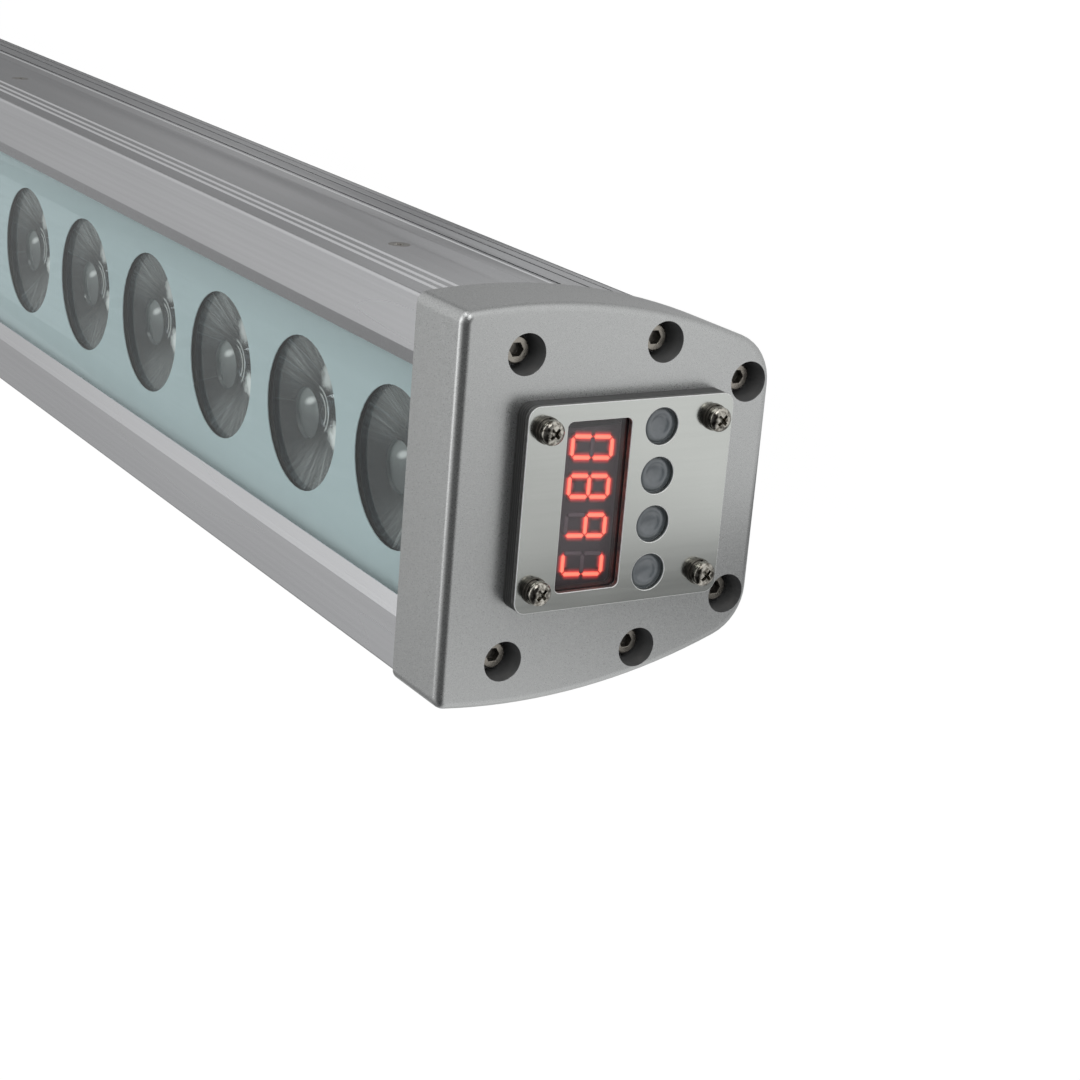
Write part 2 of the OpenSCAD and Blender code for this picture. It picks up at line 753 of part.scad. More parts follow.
module control_board_screws() color("gainsboro") at_display_end() for (y = board_post_ys, z = board_post_zs) {
    rod_x(y, z, board_face - board_t - board_head_h, board_face - board_t, board_head_r);
    rod_x(y, z, board_face - board_t, -cap_face_t, board_screw_r);
}

module at_module() at_panel() translate([-module_side, opening_off - module_back]) children();

module display_module() color([0.12, 0.1, 0.12]) at_display_end() along(board_face, module_face)
    at_module() square([module_w, module_h], center = true);

// A segment lies along its own x, with pointed ends
module segment(length) {
    l = length / 2 - segment_gap;
    h = segment_w / 2;
    polygon([[-l, 0], [h - l, h], [l - h, h], [l, 0], [l - h, -h], [h - l, -h]]);
}

segment_shares = [[0, 1], [1, 0.5], [1, -0.5], [0, -1], [-1, -0.5], [-1, 0.5], [0, 0]];
segment_turns = [0, 90, 90, 0, 90, 90, 0];
module digit(flags, value) {
    half_w = (digit_w - segment_w) / 2;
    half_h = (digit_h - segment_w) / 2;
    multmatrix([[1, tan(digit_lean), 0, 0], [0, 1, 0, 0], [0, 0, 1, 0], [0, 0, 0, 1]])
        for (i = [0:6]) if (flags[i] == value) {
            p = segment_shares[i];
            turn = segment_turns[i];
            translate([p[0] * half_w, p[1] * half_h]) rotate(turn) segment(turn == 0 ? 2 * half_w : half_h);
        }
}

module digits(value) at_display_end() along(module_face, module_face + tile_t)
    at_module() for (i = [0:len(shown) - 1])
        translate([(i - (len(shown) - 1) / 2) * digit_pitch, 0]) {
            digit(shown[i], value);
            if (value == 0) translate([digit_w / 2 + dot_r, -(digit_h - segment_w) / 2]) circle(r = dot_r);
        }

module lit_segments() color("orangered") digits(1);

module dark_segments() color("slategray") digits(0);

module tact_switches() color([0.2, 0.2, 0.2]) at_display_end() for (y = button_ys) difference() {
    block(
        board_face, board_face + switch_h, y - switch_w / 2, y + switch_w / 2,
        face_z + button_z - switch_w / 2, face_z + button_z + switch_w / 2
    );
    rod_x(y, button_z, board_face + switch_h - plunger_sink - 2 * button_travel, board_face + switch_h + over, plunger_r + fit_gap);
}

module display_pane() color("plum", 0.4) at_display_end() along(panel_seal_t - pane_t, panel_seal_t)
    at_panel() translate([0, opening_off]) round_rect(opening_w + 2 * pane_lap - 2 * fit_gap, opening_h + 2 * pane_lap - 2 * fit_gap, opening_r);

module panel_screw_holes(r) for (y = panel_screw_ys, z = panel_screw_zs) translate([y, z]) circle(r = r);

module panel_seal() color([0.15, 0.15, 0.15]) at_display_end() difference() {
    along(0, panel_seal_t) at_panel() round_rect(panel_w, panel_h, panel_r);
    along(-over, panel_seal_t + over) {
        at_panel() translate([0, opening_off]) round_rect(opening_w, opening_h, opening_r);
        for (y = button_ys) translate([y, button_z]) circle(r = button_seat_r);
        panel_screw_holes(panel_screw_r + fit_gap);
    }
    along(panel_seal_t - pane_t, panel_seal_t + over)
        at_panel() translate([0, opening_off]) round_rect(opening_w + 2 * pane_lap, opening_h + 2 * pane_lap, opening_r + fit_gap);
}

module control_panel() color("lightgray") at_display_end() along(panel_seal_t, panel_face) difference() {
    at_panel() round_rect(panel_w, panel_h, panel_r);
    at_panel() translate([0, opening_off]) round_rect(opening_w, opening_h, opening_r);
    for (y = button_ys) translate([y, button_z]) circle(r = button_hole_r);
    panel_screw_holes(panel_screw_r + fit_gap);
}

module panel_washers() color("silver") at_display_end() along(panel_face, panel_face + washer_t) difference() {
    panel_screw_holes(washer_r);
    panel_screw_holes(panel_screw_r + fit_gap);
}

module panel_spring_washers() color("dimgray") at_display_end()
    along(panel_face + washer_t, panel_face + washer_t + spring_t) difference() {
        panel_screw_holes(spring_r);
        panel_screw_holes(panel_screw_r + fit_gap);
        for (y = panel_screw_ys, z = panel_screw_zs) translate([y, z - spring_slot / 2]) square([2 * spring_r, spring_slot]);
    }

head_rim_share = 0.45;
dome_step_count = 5;
module pan_head() difference() {
    rotate_extrude() polygon(concat(
        [[0, 0], [panel_head_r, 0]],
        [for (i = [0:dome_step_count]) let (a = 90 * i / dome_step_count)
            [panel_head_r * cos(a), panel_head_h * (head_rim_share + (1 - head_rim_share) * sin(a))]]
    ));
    for (turn = [45, 135]) rotate([0, 0, turn])
        translate([-panel_screw_r, -panel_screw_r / 4, panel_head_h / 3]) cube([2 * panel_screw_r, panel_screw_r / 2, panel_head_h]);
}

module panel_screws() color("silver") at_display_end() for (y = panel_screw_ys, z = panel_screw_zs) {
    translate([panel_face + washer_t + spring_t, y, face_z + z]) rotate([0, 90, 0]) pan_head();
    rod_x(y, z, -cap_face_t, panel_face + washer_t + spring_t, panel_screw_r);
}

module button(i) color("slategray") at_display_end() difference() {
    union() {
        rod_x(button_ys[i], button_z, board_face + switch_h + plunger_out, panel_seal_t - touch_gap, button_stem_r);
        rod_x(button_ys[i], button_z, panel_seal_t - touch_gap - button_flange_t, panel_seal_t - touch_gap, button_flange_r);
        rod_x(button_ys[i], button_z, panel_seal_t - touch_gap, panel_face - button_sink, button_r);
    }
    difference() {
        rod_x(button_ys[i], button_z, panel_face - button_sink - button_ring_d, panel_face + over, button_ring_r + button_ring_w);
        rod_x(button_ys[i], button_z, panel_face - button_sink - button_ring_d - over, panel_face + over, button_ring_r);
    }
}

module button_1() button(0);
module button_2() button(1);
module button_3() button(2);
module button_4() button(3);

module plunger(i) color("black") at_display_end()
    rod_x(button_ys[i], button_z, board_face + switch_h - plunger_sink, board_face + switch_h + plunger_out, plunger_r);

module plunger_1() plunger(0);
module plunger_2() plunger(1);
module plunger_3() plunger(2);
module plunger_4() plunger(3);

// Power parts

module at_driver_end() translate([bar_mid + end_x - driver_start_share * bar_len, 0, face_z - body_d + rail_top]) children();

module driver_board() color("darkgreen") at_driver_end()
    translate([-driver_len, -driver_w / 2, driver_legs]) cube([driver_len, driver_w, board_t]);

// The four legs stand on the rail's inner wall, at a share of the board's length from its ends
leg_share = 0.08;
module driver_standoffs() color("gold") at_driver_end() for (s = [leg_share, 1 - leg_share], side = [-1, 1])
    translate([-s * driver_len, side * rail_cavity_w / 2, 0]) cylinder(h = driver_legs, r = rail_wall, $fn = 6);

can_shares = [0.3, 0.42];
coil_shares = [0.65, 0.85];
can_r = 5;
can_h_share = 0.48;
can_h = rear_room * can_h_share;
coil_w = 16;
coil_h_share = 0.34;
coil_h = rear_room * coil_h_share;
plug_w = 14;
plug_h = 6;
module driver_parts() color("midnightblue") at_driver_end() translate([0, 0, driver_legs + board_t]) {
    for (s = can_shares) translate([-s * driver_len, driver_w / 4, 0]) cylinder(h = can_h, r = can_r);
    for (s = coil_shares) translate([-s * driver_len - coil_w / 2, -coil_w / 2, 0]) cube([coil_w, coil_w, coil_h]);
    translate([-plug_h, -plug_w / 2, 0]) cube([plug_h, plug_w, plug_h]);
}

module power_supply() color("gainsboro") {
    start = bar_mid + end_x - supply_start_share * bar_len;
    block(
        start - supply_len_share * bar_len, start, -supply_w / 2, supply_w / 2,
        face_z - body_d + rail_top, face_z - body_d + rail_top + supply_h
    );
}

// A flat cable from the back of the control board to the plug on the driver board
ribbon_w = 12;
ribbon_t = 1;
ribbon_rise = 3;
module ribbon_cable() color("gray") {
    plug_x = bar_mid + end_x - driver_start_share * bar_len - plug_h / 2;
    plug_z = face_z - body_d + rail_top + driver_legs + board_t + plug_h;
    run_z = plug_z + ribbon_rise;
    start_x = bar_mid + end_x + board_face - board_t;
    block(plug_x - ribbon_t / 2, start_x, -ribbon_w / 2, ribbon_w / 2, run_z, run_z + ribbon_t);
    block(plug_x - ribbon_t / 2, plug_x + ribbon_t / 2, -ribbon_w / 2, ribbon_w / 2, plug_z, run_z + ribbon_t);
}

// Cable glands

module at_glands() at_cable_end() for (side = [-1, 1])
    translate([0, side * gland_off, face_z - gland_d]) rotate([0, 90, 0]) children();

module ring(h, outer, inner) difference() {
    cylinder(h = h, r = outer);
    translate([0, 0, -over]) cylinder(h = h + 2 * over, r = inner);
}

module gland_washers() color([0.15, 0.15, 0.15]) at_glands() ring(gland_washer_t, gland_hex_r, gland_r + fit_gap);

module gland_bodies() color([0.2, 0.2, 0.2]) at_glands() difference() {
    union() {
        translate([0, 0, -cap_face_t - gland_lock_h - gland_washer_t])
            cylinder(h = cap_face_t + gland_lock_h + 2 * gland_washer_t, r = gland_r);
        translate([0, 0, gland_washer_t]) cylinder(h = gland_hex_h, r = gland_hex_r, $fn = 6);
        translate([0, 0, gland_washer_t + gland_hex_h]) cylinder(h = gland_nut_h, r = gland_bore_r + gland_thread_wall);
    }
    translate([0, 0, -cap_face_t - gland_lock_h - 2 * gland_washer_t])
        cylinder(h = gland_reach + cap_face_t + gland_lock_h, r = gland_bore_r);
}

insert_share = 0.75;
module gland_inserts() color([0.1, 0.1, 0.1]) at_glands() translate([0, 0, gland_washer_t + gland_hex_h])
    ring(gland_nut_h + gland_dome_h * insert_share, gland_bore_r - fit_gap, cable_r);

module gland_nuts() color([0.2, 0.2, 0.2]) at_glands() translate([0, 0, gland_washer_t + gland_hex_h]) difference() {
    union() {
        cylinder(h = gland_nut_h, r = gland_hex_r, $fn = 6);
        translate([0, 0, gland_nut_h]) cylinder(h = gland_dome_h, r1 = gland_af / 2, r2 = gland_dome_r);
    }
    translate([0, 0, -over]) cylinder(h = gland_nut_h + over, r = gland_bore_r + gland_thread_wall + fit_gap);
    cylinder(h = gland_nut_h + gland_dome_h + over, r = gland_bore_r);
}

module gland_lock_nuts() color([0.2, 0.2, 0.2]) at_glands() translate([0, 0, -cap_face_t - gland_lock_h]) difference() {
    cylinder(h = gland_lock_h, r = gland_hex_r, $fn = 6);
    translate([0, 0, -over]) cylinder(h = gland_lock_h + 2 * over, r = gland_r + fit_gap);
}

// Feet

module at_feet() for (side = [-1, 1]) translate([bar_mid + side * foot_x, 0, 0]) children();

module at_rail_bolts() at_feet() for (side = [-1, 1]) translate([side * rail_bolt_off, 0, stand_h]) children();

rail_stack = strap_t + bolt_washer_t + bolt_nut_h + rail_bolt_tail;
module rail_bolts() color("silver") at_rail_bolts() {
    translate([0, 0, rail_lip_t]) cylinder(h = bolt_head_h, r = bolt_af / 2 * hex_share, $fn = 6);
    translate([0, 0, -rail_stack]) cylinder(h = rail_stack + rail_lip_t, r = bolt_r);
}

module rail_washers() color("silver") at_rail_bolts() translate([0, 0, -strap_t - bolt_washer_t])
    ring(bolt_washer_t, bolt_washer_r, bolt_r + fit_gap);

module hex_nut(h) difference() {
    cylinder(h = h, r = bolt_af / 2 * hex_share, $fn = 6);
    translate([0, 0, -over]) cylinder(h = h + 2 * over, r = bolt_r + fit_gap / 2);
}

module rail_nuts() color("silver") at_rail_bolts() translate([0, 0, -strap_t - bolt_washer_t - bolt_nut_h])
    rotate([0, 0, 30]) hex_nut(bolt_nut_h);

// An ear seen along x: straight sides down to a round end about the tilt axis
module ear(x0, half_w, r, z_far) {
    translate([x0, 0, axis_z]) rotate([90, 0, 90]) linear_extrude(strap_t) difference() {
        union() {
            circle(r = r);
            translate([-half_w, min(0, z_far - axis_z)]) square([2 * half_w, abs(z_far - axis_z)]);
        }
        circle(r = pivot_clear_r);
    }
}

module saddle() {
    difference() {
        block(-ear_out, ear_out, -saddle_plate_w / 2, saddle_plate_w / 2, stand_h - strap_t, stand_h);
        for (side = [-1, 1]) translate([side * rail_bolt_off, 0, 0]) cylinder(h = stand_h + over, r = bolt_r + 2 * fit_gap);
    }
    ear(ear_in, saddle_w / 2, saddle_w / 2, stand_h - strap_t);
    ear(-ear_out, saddle_w / 2, saddle_w / 2, stand_h - strap_t);
}

module saddle_cable_end() color("gainsboro") translate([bar_mid - foot_x, 0, 0]) saddle();

module saddle_display_end() color("gainsboro") translate([bar_mid + foot_x, 0, 0]) saddle();

module tilt_washers() color("black") at_feet() for (side = [-1, 1])
    translate([side * (ear_out + tilt_washer_t / 2), 0, axis_z]) rotate([0, 90, 0])
        translate([0, 0, -tilt_washer_t / 2]) ring(tilt_washer_t, tilt_washer_r, bolt_r + fit_gap);

pivot_out = foot_out + touch_gap + bolt_washer_t;
module pivot_bolts() color("silver") at_feet() translate([0, 0, axis_z]) rotate([0, 90, 0]) {
    translate([0, 0, -pivot_out - bolt_head_h]) cylinder(h = bolt_head_h, r = bolt_af / 2 * hex_share, $fn = 6);
    translate([0, 0, -pivot_out]) cylinder(h = 2 * pivot_out + pivot_nut_h + pivot_tail, r = bolt_r);
}

module pivot_washers() color("silver") at_feet() for (x = [-pivot_out, pivot_out - bolt_washer_t])
    translate([x, 0, axis_z]) rotate([0, 90, 0]) ring(bolt_washer_t, bolt_washer_r, bolt_r + fit_gap);

module pivot_nuts() color("silver") at_feet() translate([pivot_out, 0, axis_z]) rotate([0, 90, 0]) hex_nut(pivot_nut_h);

foot_corner_r = 4;
module foot() {
    difference() {
        translate([0, (foot_short - foot_long) / 2, 0]) linear_extrude(strap_t)
            round_rect(2 * foot_out, foot_long + foot_short, foot_corner_r);
        for (side = [-1, 1]) translate([side * foot_hole_pitch / 2, -foot_hole_off, -over])
            cylinder(h = strap_t + 2 * over, r = foot_hole_r);
    }
    ear(foot_in, foot_ear_r, foot_ear_r, 0);
    ear(-foot_out, foot_ear_r, foot_ear_r, 0);
}

module foot_cable_end() color("gainsboro") translate([bar_mid - foot_x, 0, 0]) foot();

module foot_display_end() color("gainsboro") translate([bar_mid + foot_x, 0, 0]) foot();

main_extrusion();
front_glass();
glass_mask();
glass_seals();
led_board();
leds();
tir_lenses();
lens_holders();
led_board_screws();
side_screws();
power_supply();
driver_board();
driver_parts();
driver_standoffs();
ribbon_cable();
display_end_cap();
display_cap_seal();
display_cap_screws();
cable_end_cap();
cable_cap_seal();
cable_cap_screws();
control_board();
control_board_screws();
display_module();
lit_segments();
dark_segments();
tact_switches();
display_pane();
panel_seal();
control_panel();
panel_washers();
panel_spring_washers();
panel_screws();
button_1();
button_2();
button_3();
button_4();
plunger_1();
plunger_2();
plunger_3();
plunger_4();
gland_washers();
gland_bodies();
gland_inserts();
gland_nuts();
gland_lock_nuts();
rail_bolts();
rail_washers();
rail_nuts();
saddle_cable_end();
saddle_display_end();
tilt_washers();
pivot_bolts();
pivot_washers();
pivot_nuts();
foot_cable_end();
foot_display_end();
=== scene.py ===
import json
import math

import bmesh
import bpy
from mathutils import Matrix, Vector

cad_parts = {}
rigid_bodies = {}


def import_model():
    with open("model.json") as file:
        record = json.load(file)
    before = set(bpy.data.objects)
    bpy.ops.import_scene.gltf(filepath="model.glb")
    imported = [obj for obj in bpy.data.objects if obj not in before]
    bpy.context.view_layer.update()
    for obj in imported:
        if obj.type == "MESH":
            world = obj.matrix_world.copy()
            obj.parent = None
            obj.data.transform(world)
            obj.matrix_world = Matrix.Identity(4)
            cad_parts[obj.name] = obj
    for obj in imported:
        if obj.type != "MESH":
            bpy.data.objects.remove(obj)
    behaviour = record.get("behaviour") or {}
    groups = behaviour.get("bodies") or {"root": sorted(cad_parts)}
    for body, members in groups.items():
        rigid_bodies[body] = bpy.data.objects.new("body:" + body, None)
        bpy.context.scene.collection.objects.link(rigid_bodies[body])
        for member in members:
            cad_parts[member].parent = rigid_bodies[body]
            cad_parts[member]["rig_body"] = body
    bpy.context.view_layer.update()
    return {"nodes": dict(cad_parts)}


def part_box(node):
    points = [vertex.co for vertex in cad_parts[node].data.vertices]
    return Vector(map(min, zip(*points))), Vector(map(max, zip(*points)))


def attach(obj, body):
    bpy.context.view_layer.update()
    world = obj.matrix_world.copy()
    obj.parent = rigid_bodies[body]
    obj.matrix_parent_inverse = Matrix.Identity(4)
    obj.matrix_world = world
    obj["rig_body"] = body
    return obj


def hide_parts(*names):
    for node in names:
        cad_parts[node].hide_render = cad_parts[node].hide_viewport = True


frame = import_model()

# Studio: a white floor and surround, with soft lamps over the window, off the display end and
# off the +Y side. The floor keeps the lamp's own shadow. What polished metal sees of them is
# white past the display end, with painted shade under the bar and a painted shadow seam on the
# floor, and dimmer far off and overhead.


class Socket:
    """A shader socket that takes part in a Python expression."""

    def __init__(self, tree, out=None):
        self.tree = tree
        self.out = out

    def add(self, kind, settings=None, sockets=None, out=0):
        """Adds a node of any kind: its settings first, then its sockets' values or links."""
        node = self.tree.nodes.new(kind)
        for name, value in (settings or {}).items():
            setattr(node, name, value)
        for name, value in (sockets or {}).items():
            if isinstance(value, Socket):
                self.tree.links.new(value.out, node.inputs[name])
            else:
                node.inputs[name].default_value = value
        return Socket(self.tree, node.outputs[out]) if node.outputs else None

    def math(self, operation, *values):
        return self.add("ShaderNodeMath", {"operation": operation}, dict(enumerate(values)))

    def __add__(self, other):
        return self.math("ADD", self, other)

    def __sub__(self, other):
        return self.math("SUBTRACT", self, other)

    def __rsub__(self, other):
        return self.math("SUBTRACT", other, self)

    def __mul__(self, other):
        return self.math("MULTIPLY", self, other)

    def __truediv__(self, other):
        return self.math("DIVIDE", self, other)

    def __pow__(self, other):
        return self.math("POWER", self, other)

    __radd__ = __add__
    __rmul__ = __mul__

    def blend(self, low, high):
        """The colour that goes from low to high as this value goes from 0 to 1."""
        return self.add("ShaderNodeMix", {"data_type": "RGBA"}, {0: self, 6: low, 7: high}, out=2)


def start_material(name):
    made = bpy.data.materials.new(name)
    made.use_nodes = True
    made.node_tree.nodes.clear()
    return made, Socket(made.node_tree)


def finish_material(root, shader):
    root.add("ShaderNodeOutputMaterial", None, {"Surface": shader})


def background_rays(root):
    """1 for a ray that shows the background: from the camera, off metal or through glass."""
    seen = root.add("ShaderNodeLightPath", out="Is Camera Ray")
    mirrored = root.add("ShaderNodeLightPath", out="Is Glossy Ray")
    through = root.add("ShaderNodeLightPath", out="Is Transmission Ray")
    return root.math("MAXIMUM", seen, root.math("MAXIMUM", mirrored, through))


def ramp(root, value, start, end, low, high):
    """Goes softly from low to high as the value goes from start to end."""
    return root.add("ShaderNodeMapRange", {"interpolation_type": "SMOOTHSTEP"}, {
        "Value": value, "From Min": start, "From Max": end, "To Min": low, "To Max": high,
    })


floor_half = 6.0
floor_drop = 0.0005
floor_paint, root = start_material("studio_floor")
seen = root.add("ShaderNodeLightPath", out="Is Camera Ray")
place = root.add("ShaderNodeTexCoord", out="Object")
along = root.add("ShaderNodeSeparateXYZ", None, {"Vector": place}, out="X")
across = root.add("ShaderNodeSeparateXYZ", None, {"Vector": place}, out="Y")
# What metal sees of the floor carries painted shade under the bar and a painted shadow seam where the bar's
# own shadow begins. It is also darker towards -Y near the bar.
shadow_seam_slope = 0.42
shadow_seam_place = 0.194
from_shadow_seam = root.math("ABSOLUTE", across + shadow_seam_slope * along - shadow_seam_place)
painted_shade_under_bar = ramp(root, along, -0.05, 0.35, 0.19, 0.4)
past_end = ramp(root, along, 0.42, 0.58, 0.0, 0.6)
far_off = ramp(root, along, 0.72, 1.0, 1.0, 0.1)
painted_shadow_seam = ramp(root, from_shadow_seam, 0.004, 0.02, 0.3, 1.0)
low_side = ramp(root, across, -0.045, -0.012, 0.76, 1.0)
open_side = ramp(root, across, -0.1, -0.078, 0.35, 0.0)
mirrored_floor = (painted_shade_under_bar + past_end) * far_off * painted_shadow_seam * low_side + open_side
paper = root.add("ShaderNodeBsdfDiffuse", None, {"Color": (0.56, 0.56, 0.56, 1)})
glow = root.add("ShaderNodeEmission", None, {
    "Color": root.math("MAXIMUM", seen, mirrored_floor).blend((0, 0, 0, 1), (1, 1, 1, 1)),
    "Strength": 1.15,
})
bright_paper = root.add("ShaderNodeMixShader", None, {0: 0.84, 1: paper, 2: glow})
shown = background_rays(root)
finish_material(root, root.add("ShaderNodeMixShader", None, {0: shown, 1: paper, 2: bright_paper}))

floor_mesh = bpy.data.meshes.new("studio_floor")
corners = [(x * floor_half, y * floor_half, 0) for x, y in ((-1, -1), (1, -1), (1, 1), (-1, 1))]
floor_mesh.from_pydata(corners, [], [(0, 1, 2, 3)])
floor_mesh.materials.append(floor_paint)
floor = bpy.data.objects.new("studio_floor", floor_mesh)
bpy.context.scene.collection.objects.link(floor)
floor.location.z = -floor_drop


def toward(root, heading, direction):
    """How far a direction of view points along another one."""
    pair = {0: heading, 1: direction}
    return root.add("ShaderNodeVectorMath", {"operation": "DOT_PRODUCT"}, pair, out="Value")


world = bpy.data.worlds.new("studio_surround")
world.use_nodes = True
world.node_tree.nodes.clear()
bpy.context.scene.world = world
root = Socket(world.node_tree)
seen = root.add("ShaderNodeLightPath", out="Is Camera Ray")
heading = root.add("ShaderNodeTexCoord", out="Generated")
high_side = toward(root, heading, (0, 0.8, 0.6))
overhead = ramp(root, high_side, -0.8, 1.0, 0.18, 0.72) + ramp(root, high_side, 0.42, 0.75, 0.0, 0.35)
past_end = ramp(root, toward(root, heading, (1, 0, 0)), -0.1, 0.4, 1.0, 0.1)
aloft = ramp(root, toward(root, heading, (0, 0, 1)), 0.33, 0.47, 0.94, 1.12)
mirrored_surround = overhead * past_end * aloft
soft_light = root.add("ShaderNodeBackground", None, {"Color": (0.96, 0.98, 1, 1), "Strength": 0.45})
backdrop = root.add("ShaderNodeBackground", None, {
    "Color": root.math("MAXIMUM", seen, mirrored_surround).blend((0, 0, 0, 1), (1, 1, 1, 1)),
    "Strength": 1.0,
})
shown = background_rays(root)
root.add("ShaderNodeOutputWorld", None, {
    "Surface": root.add("ShaderNodeMixShader", None, {0: shown, 1: soft_light, 2: backdrop}),
})

# Each lamp: place, width, height and power; all face the display end
lamp_aim = Vector((0.40, 0.0, 0.06))
for name, place, width, height, power in (
    ("lamp_window", Vector((-0.3, 0.2, 1.6)), 1.6, 0.9, 7),
    ("lamp_end", Vector((1.5, 1.2, 0.3)), 1.1, 0.7, 7),
    ("lamp_side", Vector((0.3, 1.5, 0.8)), 1.2, 0.15, 2.2),
):
    data = bpy.data.lights.new(name, "AREA")
    data.shape = "RECTANGLE"
    data.size = width
    data.size_y = height
    data.energy = power
    lamp = bpy.data.objects.new(name, data)
    lamp.location = place
    lamp.rotation_euler = (lamp_aim - place).to_track_quat("-Z", "Y").to_euler()
    bpy.context.scene.collection.objects.link(lamp)

# Camera: turned a quarter, so that the window's side of the lamp faces left and its own
# +Y side is up in the picture. The lens is given for a 36 mm wide frame.
camera_data = bpy.data.cameras.new("camera")
camera_data.sensor_width = 36
camera_data.lens = 81.24
camera_data.clip_start = 0.02
camera = bpy.data.objects.new("camera", camera_data)
camera_place = Vector((0.87246, 0.13251, 0.31476))
picture_right = Vector((0.51263, 0.07964, -0.85491))
picture_down = Vector((0.30144, -0.94900, 0.09234))
look = Vector((-0.80396, -0.30504, -0.51049))
turn = Matrix((picture_right, -picture_down, -look)).transposed()
camera.matrix_world = Matrix.Translation(camera_place) @ turn.to_4x4()
bpy.context.scene.collection.objects.link(camera)
bpy.context.scene.camera = camera
bpy.context.scene.view_settings.view_transform = "Standard"

# Bar: one length of extruded aluminium, satin anodised. The die leaves faint lines along
# it, and the sides carry fine ribs and flutes that come from the section itself.

mm = 0.001


def stands_for(piece, node):
    """Shows a finished piece in place of a CAD piece, on its body."""
    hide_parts(node)
    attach(piece, frame["nodes"][node]["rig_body"])


def refined(node, round_edge, sharp=35.0, shortest=0.0, clamped=True):
    """A copy of a CAD piece with its flat faces joined and its sharp edges broken."""
    shape = bmesh.new()
    shape.from_mesh(frame["nodes"][node].data)
    bmesh.ops.remove_doubles(shape, verts=shape.verts, dist=0.002 * mm)
    bmesh.ops.dissolve_limit(shape, angle_limit=math.radians(0.4), verts=shape.verts, edges=shape.edges)
    limit = math.radians(sharp)
    paired = [e for e in shape.edges if len(e.link_faces) == 2 and e.calc_length() > shortest]
    edges = [e for e in paired if e.calc_face_angle() > limit]
    if round_edge:
        bmesh.ops.bevel(
            shape, geom=edges, offset=round_edge, segments=2, profile=0.5, affect="EDGES",
            clamp_overlap=clamped, loop_slide=False
        )
    mesh = bpy.data.meshes.new(node + "_finished")
    shape.to_mesh(mesh)
    shape.free()
    mesh.shade_smooth()
    mesh.set_sharp_from_angle(angle=math.radians(50))
    piece = bpy.data.objects.new(node + "_finished", mesh)
    bpy.context.scene.collection.objects.link(piece)
    weights = piece.modifiers.new("flat_faces_first", "WEIGHTED_NORMAL")
    weights.keep_sharp = True
    weights.weight = 100
    stands_for(piece, node)
    return piece


def wear(finish, *names):
    """Gives a finish to CAD pieces that keep their own shape."""
    for name in names:
        materials = frame["nodes"][name].data.materials
        materials.clear()
        materials.append(finish)


def stretched(root, along, across_y, across_z):
    """The place on the object in metres, stretched by a factor along each axis."""
    place = root.add("ShaderNodeTexCoord", out="Object")
    factors = {0: place, 1: (along, across_y, across_z)}
    return root.add("ShaderNodeVectorMath", {"operation": "MULTIPLY"}, factors)


def noise(root, place, scale, detail=2.0, rough=0.5):
    sockets = {"Vector": place, "Scale": scale, "Detail": detail, "Roughness": rough}
    return root.add("ShaderNodeTexNoise", None, sockets)


anodised, root = start_material("bar_anodised")
die_lines = noise(root, stretched(root, 0, 1400, 1400), 1.0, 3)
cloud = noise(root, stretched(root, 6, 40, 40), 1.0, 2)
tone = 0.5 * die_lines + 0.5 * cloud
anodised_bump = root.add(
    "ShaderNodeBump", None, {"Strength": 0.05, "Distance": 0.02 * mm, "Height": die_lines}
)
finish_material(root, root.add("ShaderNodeBsdfPrincipled", None, {
    "Base Color": tone.blend((0.60, 0.605, 0.62, 1), (0.77, 0.775, 0.79, 1)),
    "Metallic": 1.0,
    "Roughness": 0.22 + 0.10 * cloud,
    "Normal": anodised_bump,
}))
bar = refined("main_extrusion", 0.1 * mm, sharp=12.0, shortest=200 * mm)
bar.data.materials.append(anodised)

# Upper and lower edge of each flute along the sides, above the feet
flute_spans = ((82.99, 75.6), (67.94, 61.35), (60.07, 54.16), (52.68, 47.1))
flute_hollow = 0.55 * mm
flute_rows = 8
edge_slack = 0.4 * mm
facing_out = 0.9
shape = bmesh.new()
shape.from_mesh(bar.data)
flat_flutes = []
for face in shape.faces:
    top = max(vert.co.z for vert in face.verts)
    foot = min(vert.co.z for vert in face.verts)
    for upper, lower in flute_spans:
        fits = max(abs(top - upper * mm), abs(foot - lower * mm)) < edge_slack
        if fits and abs(face.normal.y) > facing_out:
            flat_flutes.append(face)
for face in flat_flutes:
    upper = max(face.verts, key=lambda vert: vert.co.z).co.copy()
    lower = min(face.verts, key=lambda vert: vert.co.z).co.copy()
    ends = (min(vert.co.x for vert in face.verts), max(vert.co.x for vert in face.verts))
    outward = math.copysign(1, face.normal.y)
    rows = []
    for row in range(flute_rows + 1):
        share = row / flute_rows
        place = upper.lerp(lower, share)
        place.y -= outward * flute_hollow * 4 * share * (1 - share)
        rows.append([shape.verts.new((x, place.y, place.z)) for x in ends])
    for first, second in zip(rows, rows[1:]):
        strip = shape.faces.new((first[0], first[1], second[1], second[0]))
        strip.smooth = True
        strip.normal_update()
        if strip.normal.y * outward < 0:
            strip.normal_flip()
bmesh.ops.delete(shape, geom=flat_flutes, context="FACES_ONLY")
bmesh.ops.remove_doubles(shape, verts=shape.verts, dist=0.001 * mm)
shape.to_mesh(bar.data)
shape.free()
bar.data.set_sharp_from_angle(angle=math.radians(40))

# Window: a strip of toughened glass, with a pale enamel print under it that leaves a clear
# circle over each lens, on two long silicone seals. Shadow rays pass straight through.


